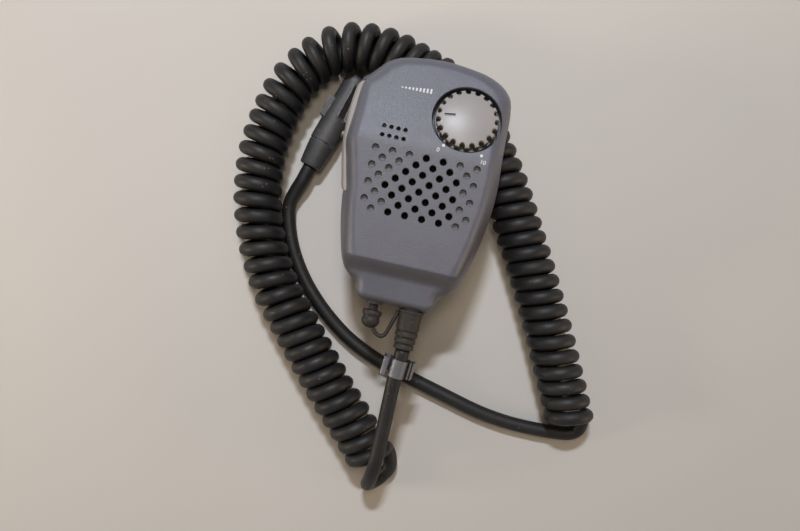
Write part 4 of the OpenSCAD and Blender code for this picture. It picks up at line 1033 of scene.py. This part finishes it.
def buildCap(k):
    face, stem, flange = k["face"], k["stem"], k["flange"]
    profile = [(0.001, face - 11), (stem - 0.4, face - 11), (stem - 0.08, face - 10.3), (stem, face - 9.8),
               (stem, face - 2.6)]
    for n in range(k["ribs"]):
        near = face - 2.5 + n * k["ribLength"]
        profile += [(stem - 0.28, near), (stem - 0.24, near + 0.16), (stem, near + 0.28), (stem, near + 0.5)]
    profile += [(flange - 0.4, face), (flange - 0.1, face + 0.06), (flange, face + 0.22),
                (flange, face + 1.35), (flange - 0.08, face + 1.52), (flange - 0.38, face + 1.62),
                (flange - 0.44, face + 1.8)]
    profile += [(k["bulb"] * math.cos(math.radians(a)), face + 3.5 + 2.6 * math.sin(math.radians(a)))
                for a in range(-24, 90, 6)]
    profile.append((0.001, face + 6.1))
    return lathePiece("socketCap", profile, jackMouth, outwards, 56)


strapLook = {"wire": 0.68, "ring": (3.9, 4.2), "route": [
    (-5.1, -48.55, 27), (-4.2, -49.65, 27), (-3, -50.45, 27), (-1.8, -50.55, 27), (-0.7, -49.75, 27),
    (0, -47.95, 27), (0.6, -45.85, 27), (1.2, -43.95, 27), (1.7, -42.35, 27), (2, -40.65, 27)]}


def buildStrap(k):
    strap = sweptTube("capStrap", splinePoints(inMetres(k["route"]), 0.35 * mm), k["wire"] * mm)
    inner, outer = k["ring"]
    profile = [(outer, 39.85), (outer + 0.1, 39.95), (outer + 0.1, 40.75), (outer, 40.85)]
    ring = lathePiece("ring", profile, cordMouth, outwards, 72)
    carved(ring, rodPiece(inner, 38, 42, cordMouth, outwards, 72))
    carved(strap, ring, "UNION", "EXACT")
    return smoothed(strap, 40)


strainRelief = smoothed(buildRelief(reliefLook), 35)
socketCap = smoothed(buildCap(capLook), 35)
capStrap = buildStrap(strapLook)
dress(strainRelief, "soft_rubber", "case", "strain_relief")
dress(socketCap, "soft_rubber", "cap", "socket_cap")
dress(capStrap, "soft_rubber", None, "cap_tether")
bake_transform(capStrap)
print("relief and cap: built")


cordClipLook = {
    "from": (6.3, -56.4, 26.8), "to": (5.8, -63.4, 26), "length": 6.2, "sheet": 0.5, "inner": 2.5,
    "lip": [(-3.7, 1.95), (-4.1, 2.05), (-4.75, 2.0), (-5.1, 1.75), (-5.2, 1.3), (-5.2, -2.2)],
    "teeth": [(3.55, 0.0), (3.75, 0.3), (4.0, 0.0), (4.1, -2.0), (4.35, -2.2), (4.55, -2.0), (4.6, -0.4),
              (4.8, -0.1), (5.05, -0.4), (5.15, -2.4)]}


# Sheet metal bent along a line of (across, up) pairs, length long.
def ribbon(name, line, sheet, length):
    left, right = [], []
    for i, (x, z) in enumerate(line):
        before, after = line[max(i - 1, 0)], line[min(i + 1, len(line) - 1)]
        along = Vector((after[0] - before[0], after[1] - before[1])).normalized() * (sheet / 2)
        left.append((x - along.y, z + along.x))
        right.append((x + along.y, z - along.x))
    section = left + right[::-1]
    count = len(section)
    points = [(x, y, z) for y in (-length / 2, length / 2) for x, z in section]
    faces = [(j, (j + 1) % count, count + (j + 1) % count, count + j) for j in range(count)]
    for i in range(len(line) - 1):
        a, b, c, d = i, i + 1, count - 2 - i, count - 1 - i
        faces += [(d, c, b, a), (count + a, count + b, count + c, count + d)]
    return solidPiece(name, points, faces)


def buildCordClip(k):
    reach = k["inner"] + k["sheet"] / 2
    low = -reach
    arc = [(reach * math.cos(math.radians(a)), reach * math.sin(math.radians(a)))
           for a in range(180, -61, -10)]
    under = [(-5.05, low + 0.1), (-4.6, low), (-3.2, low), (-reach, low + 0.5), (-reach, -1.2)]
    beside = [(reach * 0.62, low - 0.06), (3.2, low + 0.05), (3.5, low + 0.5)]
    line = k["lip"] + under + arc + beside + k["teeth"] + [(5.6, low)]
    bent = ribbon("cordClip", line, k["sheet"], k["length"])
    a, b = Vector(k["from"]), Vector(k["to"])
    down = (b - a).normalized()
    across = down.cross(Vector((0, 0, 1))).normalized() * -1
    turn = Matrix((across, -down, across.cross(-down))).transposed().to_4x4()
    bent.data.transform(Matrix.Translation((a + b) / 2 * mm) @ turn)
    return softened(bent, 0.12, 40, 2, 40)


cordClip = buildCordClip(cordClipLook)
dress(cordClip, "clip_metal", "case", "cord_clip")


plugLook = {"start": (-41.2, 2.6, 4.9), "turn": -16, "sleeve": 10, "end": 38.8, "wide": 4.6, "endRadius": 4.1,
            "drop": -0.7, "ridge": (20.6, 33.2), "ridgeAngle": 80, "broad": 1.12,
            "stop": ((-5.9, 18.6, -2.4), (-2, 26.6, 2.4)), "pad": ((2, 13.4, -2.3), (4.3, 30.3, 1.0)),
            "pins": ((16.4, 1.5), (27.8, 1.0))}  # each pin's place along the plug and the radius of its bore
plugPlace = (Matrix.Translation(Vector(plugLook["start"]) * mm)
             @ Matrix.Rotation(math.radians(plugLook["turn"]), 4, "Z"))


def eased(value, low, high):
    t = min(max((value - low) / (high - low), 0), 1)
    return t * t * (3 - 2 * t)


def buildPlug(k):
    capFrom = k["end"] - k["endRadius"]
    heights = [k["sleeve"] + f * 0.5 for f in range(int((capFrom - k["sleeve"]) / 0.5) + 1)]
    stations = [(y, 1) for y in heights if y < capFrom - 0.2]
    stations += [(capFrom + k["endRadius"] * math.sin(math.radians(a)), math.cos(math.radians(a)))
                 for a in range(0, 90, 6)] + [(k["end"], 0.01)]
    rings = []
    for y, share in stations:
        t = min((y - k["sleeve"]) / (capFrom - k["sleeve"]), 1)
        radius = (k["wide"] + (k["endRadius"] - k["wide"]) * t) * share
        if y < k["sleeve"] + 0.4:
            radius -= 0.25
        near, far = k["ridge"]
        cut = eased(y, near - 0.5, near + 0.3) * (1 - eased(y, far - 0.3, far + 0.6))
        ring = []
        for a in range(0, 360, 5):
            r = radius
            turned = k["ridgeAngle"] - a
            if 0 < turned < 100:
                flat = radius * math.cos(math.radians(50)) / math.cos(math.radians(turned - 50))
                r = radius + (flat - radius) * cut
            if -12 < turned <= 0:
                r += 0.22 * cut * (1 + turned / 12)
            ring.append((k["broad"] * r * math.cos(math.radians(a)), y,
                         k["drop"] * t + r * math.sin(math.radians(a))))
        rings.append(ring[::-1])
    body = loftPiece("plugBody", rings)
    carved(body, softened(boxPiece("stop", *k["stop"]), 0.35, segments=3), "UNION")
    carved(body, softened(boxPiece("pad", *k["pad"]), 0.2), "UNION")
    for y, radius in k["pins"]:
        carved(body, rodPiece(radius, 1.3, 6, (0, y, 0), (1, 0, 0), 32))
    body.data.transform(plugPlace)
    return smoothed(body, 26)


def buildSleeve(k):
    profile = [(0.001, 0.12), (2.6, 0.12), (3.2, 0), (3.5, 0.12), (3.68, 0.45), (3.78, 1.2), (4.0, 3.5),
               (4.28, 7), (4.42, 9.4), (4.36, 9.7), (4.0, 10), (0.001, 10)]
    sleeve = lathePiece("plugSleeve", profile, (0, 0, 0), onwards, 72)
    sleeve.data.transform(plugPlace @ Matrix.Diagonal((k["broad"], 1, 1, 1)))
    return smoothed(sleeve, 30)


plugBody, plugSleeve = buildPlug(plugLook), buildSleeve(plugLook)
dress(plugBody, "plug_rubber", "case", "plug_body")
dress(plugSleeve, "plug_rubber", "case", "plug_sleeve")
print("plug:", len(plugBody.data.polygons), "faces")


springLook = {"wire": 0.8, "inner": 3.1, "half": 4.2, "turns": 9.27, "place": (0, 2, 8), "leg": 9,
              "legHeights": (1.72, 14.9)}


def buildSpring(k):
    radius = (k["inner"] + k["wire"]) / 2 + 0.02
    x0, y0, z0 = k["place"]
    steps = round(k["turns"] * 24)
    whole = round(k["turns"] - 0.25) * 2 * math.pi
    route = []
    for i in range(steps + 1):
        a = whole * i / steps
        route.append(Vector((x0 - k["half"] + 2 * k["half"] * i / steps, y0 + radius * math.cos(a),
                             z0 + radius * math.sin(a))))
    low, high = (Vector((x0 + side * k["half"], y0 + k["leg"], z))
                 for side, z in zip((-1, 1), k["legHeights"]))
    legOne = [low.lerp(route[0], t) for t in (0, 0.3, 0.6, 0.85)]
    legTwo = [route[-1].lerp(high, t) for t in (0.15, 0.4, 0.7, 1)]
    path = [q * mm for q in legOne + route + legTwo]
    return sweptTube("clipSpring", path, k["wire"] / 2 * mm, 12)


clipSpring = buildSpring(springLook)
dress(clipSpring, "spring_steel", None, "clip_spring")
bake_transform(clipSpring)


softEdges = {"key_left": 0.22, "key_middle": 0.18, "key_right": 0.22, "lock_slider": 0.25, "case_screws": 0.1,
             "clip_base": 0.25, "clip_jaw": 0.25, "clip_pin": 0.12, "clip_rivet": 0.2, "clip_washer": 0.05,
             "plug_pin_large": 0.06, "plug_pin_small": 0.05}
bodyOf = {node: body for body, nodes in frame["record"]["behaviour"]["bodies"].items() for node in nodes}
slotOf = {row["node"]: row["material_slot"] for row in frame["record"]["subparts"]}
for node, width in softEdges.items():
    dress(softened(copyOf(node, node + "_soft"), width), slotOf[node], bodyOf[node], node)
print("softened:", len(softEdges), "pieces")


markLook = {"thick": 0.03, "deep": 0.08, "dots": [(4.5, 15.2), (17.2, 14.5)], "dotRadius": 0.5,
            "numbers": [("0", (3.05, 13.45), -9), ("10", (18.3, 12.5), -9)], "numberHeight": 1.45,
            "bars": {"centre": (-8.0, 32.4), "length": 10.2, "height": 1.75, "count": 9, "width": 0.62}}


# Flat printing, in millimetres, laid on the shell as a thin closed skin.
def inked(name, points, faces, shell, look):
    tree = BVHTree.FromPolygons([v.co.copy() for v in shell.data.vertices],
                                [tuple(f.vertices) for f in shell.data.polygons])
    skin = bmesh.new()
    for level in (look["thick"], -look["deep"]):
        for x, y in points:
            hit = tree.ray_cast(Vector((x * mm, y * mm, 0.06)), Vector((0, 0, -1)))[0]
            skin.verts.new((x * mm, y * mm, hit.z + level * mm))
    skin.verts.ensure_lookup_table()
    count = len(points)
    edges = {}
    for face in faces:
        skin.faces.new([skin.verts[i] for i in face])
        skin.faces.new([skin.verts[i + count] for i in reversed(face)])
        for a, b in zip(face, face[1:] + face[:1]):
            edges[(a, b)] = edges.get((a, b), 0) + 1
    for a, b in edges:
        if (b, a) not in edges:
            skin.faces.new([skin.verts[i] for i in (b, a, a + count, b + count)])
    bmesh.ops.recalc_face_normals(skin, faces=skin.faces)
    return fromBmesh(name, skin)


# The outline of a few figures, filled, as points and faces.
def figures(text, height, turn, centre):
    curve = bpy.data.curves.new("figures", "FONT")
    curve.body = text
    curve.size = 1.0
    curve.resolution_u = 4
    curve.offset = 0.012
    item = placed("figures", curve)
    bpy.context.view_layer.update()
    mesh = bpy.data.meshes.new_from_object(item.evaluated_get(bpy.context.evaluated_depsgraph_get()))
    bpy.data.objects.remove(item)
    data = bmesh.new()
    data.from_mesh(mesh)
    bmesh.ops.remove_doubles(data, verts=data.verts, dist=1e-5)
    xs = [v.co.x for v in data.verts]
    ys = [v.co.y for v in data.verts]
    factor = height / (max(ys) - min(ys))
    middle = Vector(((max(xs) + min(xs)) / 2, (max(ys) + min(ys)) / 2))
    a = math.radians(turn)
    points = []
    for v in data.verts:
        x, y = (v.co.x - middle.x) * factor, (v.co.y - middle.y) * factor
        points.append((centre[0] + x * math.cos(a) - y * math.sin(a),
                       centre[1] + x * math.sin(a) + y * math.cos(a)))
    data.verts.index_update()
    faces = [[v.index for v in f.verts] for f in data.faces]
    data.free()
    return points, faces


def flatMarks(look):
    points, faces = [], []

    def add(shape, rows):
        base = len(points)
        points.extend(shape)
        faces.extend([[base + i for i in row] for row in rows])

    for x, y in look["dots"]:
        ring = [(x + look["dotRadius"] * math.cos(a), y + look["dotRadius"] * math.sin(a))
                for a in (2 * math.pi * j / 24 for j in range(24))]
        add(ring, [list(range(24))])
    for text, centre, turn in look["numbers"]:
        add(*figures(text, look["numberHeight"], turn, centre))
    bars = look["bars"]
    for n in range(bars["count"]):
        x = bars["centre"][0] + (n / (bars["count"] - 1) - 0.5) * (bars["length"] - bars["width"])
        low = bars["centre"][1] - bars["height"] / 2
        high = low + bars["height"] * (0.22 + 0.78 * n / (bars["count"] - 1))
        half = bars["width"] / 2
        add([(x - half, low), (x + half, low), (x + half, high), (x - half, high)], [[0, 1, 2, 3]])
    return points, faces


marks = inked("frontMarks", *flatMarks(markLook), frontShell, markLook)
marks.data.materials.append(inkMaterial)
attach(marks, "case")
print("marks:", len(marks.data.polygons), "faces")


# The two floor tones paint the light's falloff: lighter at the upper left, darker at the lower right.
stageLook = {"floor": (tone(209, 204, 198), tone(188, 186, 182)), "size": 9, "floorZ": -0.0002,
             "aim": Vector((0, 0, 0.01)),
             "key": {"place": (-0.03, 0.665, 0.95), "size": (0.15, 0.05), "power": 9.6, "spread": 180,
                     "colour": (0.84, 0.9, 1.0)},
             "top": {"place": (0.006, 0.066, 0.45), "size": (0.11, 0.11), "power": 0.4, "spread": 180,
                     "colour": (1.0, 0.88, 0.74)},
             "right": {"place": (0.62, -0.2, 0.16), "size": (0.30, 0.16), "power": 0.22, "spread": 80,
                       "colour": (1.0, 0.72, 0.46)},
             "left": {"place": (-0.8, -0.08, 0.26), "size": (0.2, 0.12), "power": 0.46, "spread": 80,
                      "colour": (1.0, 0.84, 0.62)},
             "ambient": ((1.0, 0.78, 0.56), 0.15), "background": ((0.93, 0.9, 0.87), 0.55),
             "fades": (0.4, 1.3)}  # where the floor turns into the background


# Rays that show a surface: the camera's own and those it sees by mirror or through glass.
def seenRays(tree):
    path = tree.nodes.new("ShaderNodeLightPath").outputs
    direct = mathNode(tree, "ADD", path["Is Camera Ray"], path["Is Glossy Ray"], True)
    return mathNode(tree, "ADD", direct, path["Is Transmission Ray"], True)


def floorPaper(look):
    material, tree, shader = newMaterial("floor_paper")
    shader.inputs["Roughness"].default_value = 0.75
    place = addNode(tree, "ShaderNodeTexCoord").outputs["Object"]
    cloud = noiseAt(tree, place, 9.0, 5.0)
    # Painted light falloff: the floor's colour darkens from the picture's upper left towards its lower right.
    away = (pictureRight * 0.8 - pictureUp * 0.6).normalized()
    across = addNode(tree, "ShaderNodeVectorMath", {0: place, 1: tuple(away)},
                     operation="DOT_PRODUCT").outputs["Value"]
    paintedFalloff = mapRange(tree, across, -0.14, 0.16)
    colour = mixColour(tree, paintedFalloff, look["floor"][0], look["floor"][1])
    mottled = mixColour(tree, mapRange(tree, cloud, 0.3, 0.7, 0.0, 0.06), colour, tone(150, 145, 138))
    tree.links.new(mottled, shader.inputs["Base Color"])
    far = addNode(tree, "ShaderNodeVectorMath", {0: place}, operation="LENGTH").outputs["Value"]
    beyond = mathNode(tree, "MULTIPLY", mapRange(tree, far, *look["fades"]), seenRays(tree))
    glow = addNode(tree, "ShaderNodeEmission", {"Color": (*look["background"][0], 1),
                                                "Strength": look["background"][1]})
    seamless = addNode(tree, "ShaderNodeMixShader", {0: beyond, 1: shader.outputs[0], 2: glow.outputs[0]})
    below = mathNode(tree, "MULTIPLY", tree.nodes.new("ShaderNodeNewGeometry").outputs["Backfacing"],
                     tree.nodes.new("ShaderNodeLightPath").outputs["Is Camera Ray"])
    clear = addNode(tree, "ShaderNodeBsdfTransparent")
    surface = addNode(tree, "ShaderNodeMixShader", {0: below, 1: seamless.outputs[0], 2: clear.outputs[0]})
    tree.links.new(surface.outputs[0], tree.nodes["Material Output"].inputs["Surface"])
    return material


def hangLamps(look):
    for name in ("key", "top", "right", "left"):
        lamp = look[name]
        data = bpy.data.lights.new(name, "AREA")
        data.shape = "RECTANGLE"
        data.size, data.size_y = lamp["size"]
        data.energy = lamp["power"]
        data.color = lamp["colour"]
        data.spread = math.radians(lamp["spread"])
        item = placed(name, data)
        x, y, z = lamp["place"]
        item.location = pictureRight * x + pictureUp * y + Vector((0, 0, z))
        item.rotation_euler = (look["aim"] - item.location).to_track_quat("-Z", "Y").to_euler()


# The room lights the part warmly and shows pale behind it.
def paintWorld(look):
    world = bpy.data.worlds.new("world")
    bpy.context.scene.world = world
    world.use_nodes = True
    tree = world.node_tree
    lit = tree.nodes["Background"]
    seen = tree.nodes.new("ShaderNodeBackground")
    for shader, name in ((lit, "ambient"), (seen, "background")):
        shader.inputs["Color"].default_value = (*look[name][0], 1)
        shader.inputs["Strength"].default_value = look[name][1]
    mixed = addNode(tree, "ShaderNodeMixShader", {0: seenRays(tree)})
    tree.links.new(lit.outputs[0], mixed.inputs[1])
    tree.links.new(seen.outputs[0], mixed.inputs[2])
    tree.links.new(mixed.outputs[0], tree.nodes["World Output"].inputs["Surface"])


def buildStage(look):
    half = look["size"] / 2
    corners = [(x * half, y * half, look["floorZ"]) for x, y in ((-1, -1), (1, -1), (1, 1), (-1, 1))]
    floor = newPiece("floor", corners, [(0, 1, 2, 3)], smooth=False)
    floor.data.materials.append(floorPaper(look))
    hangLamps(look)
    paintWorld(look)


buildStage(stageLook)
print("stage: floor, lamps and world")
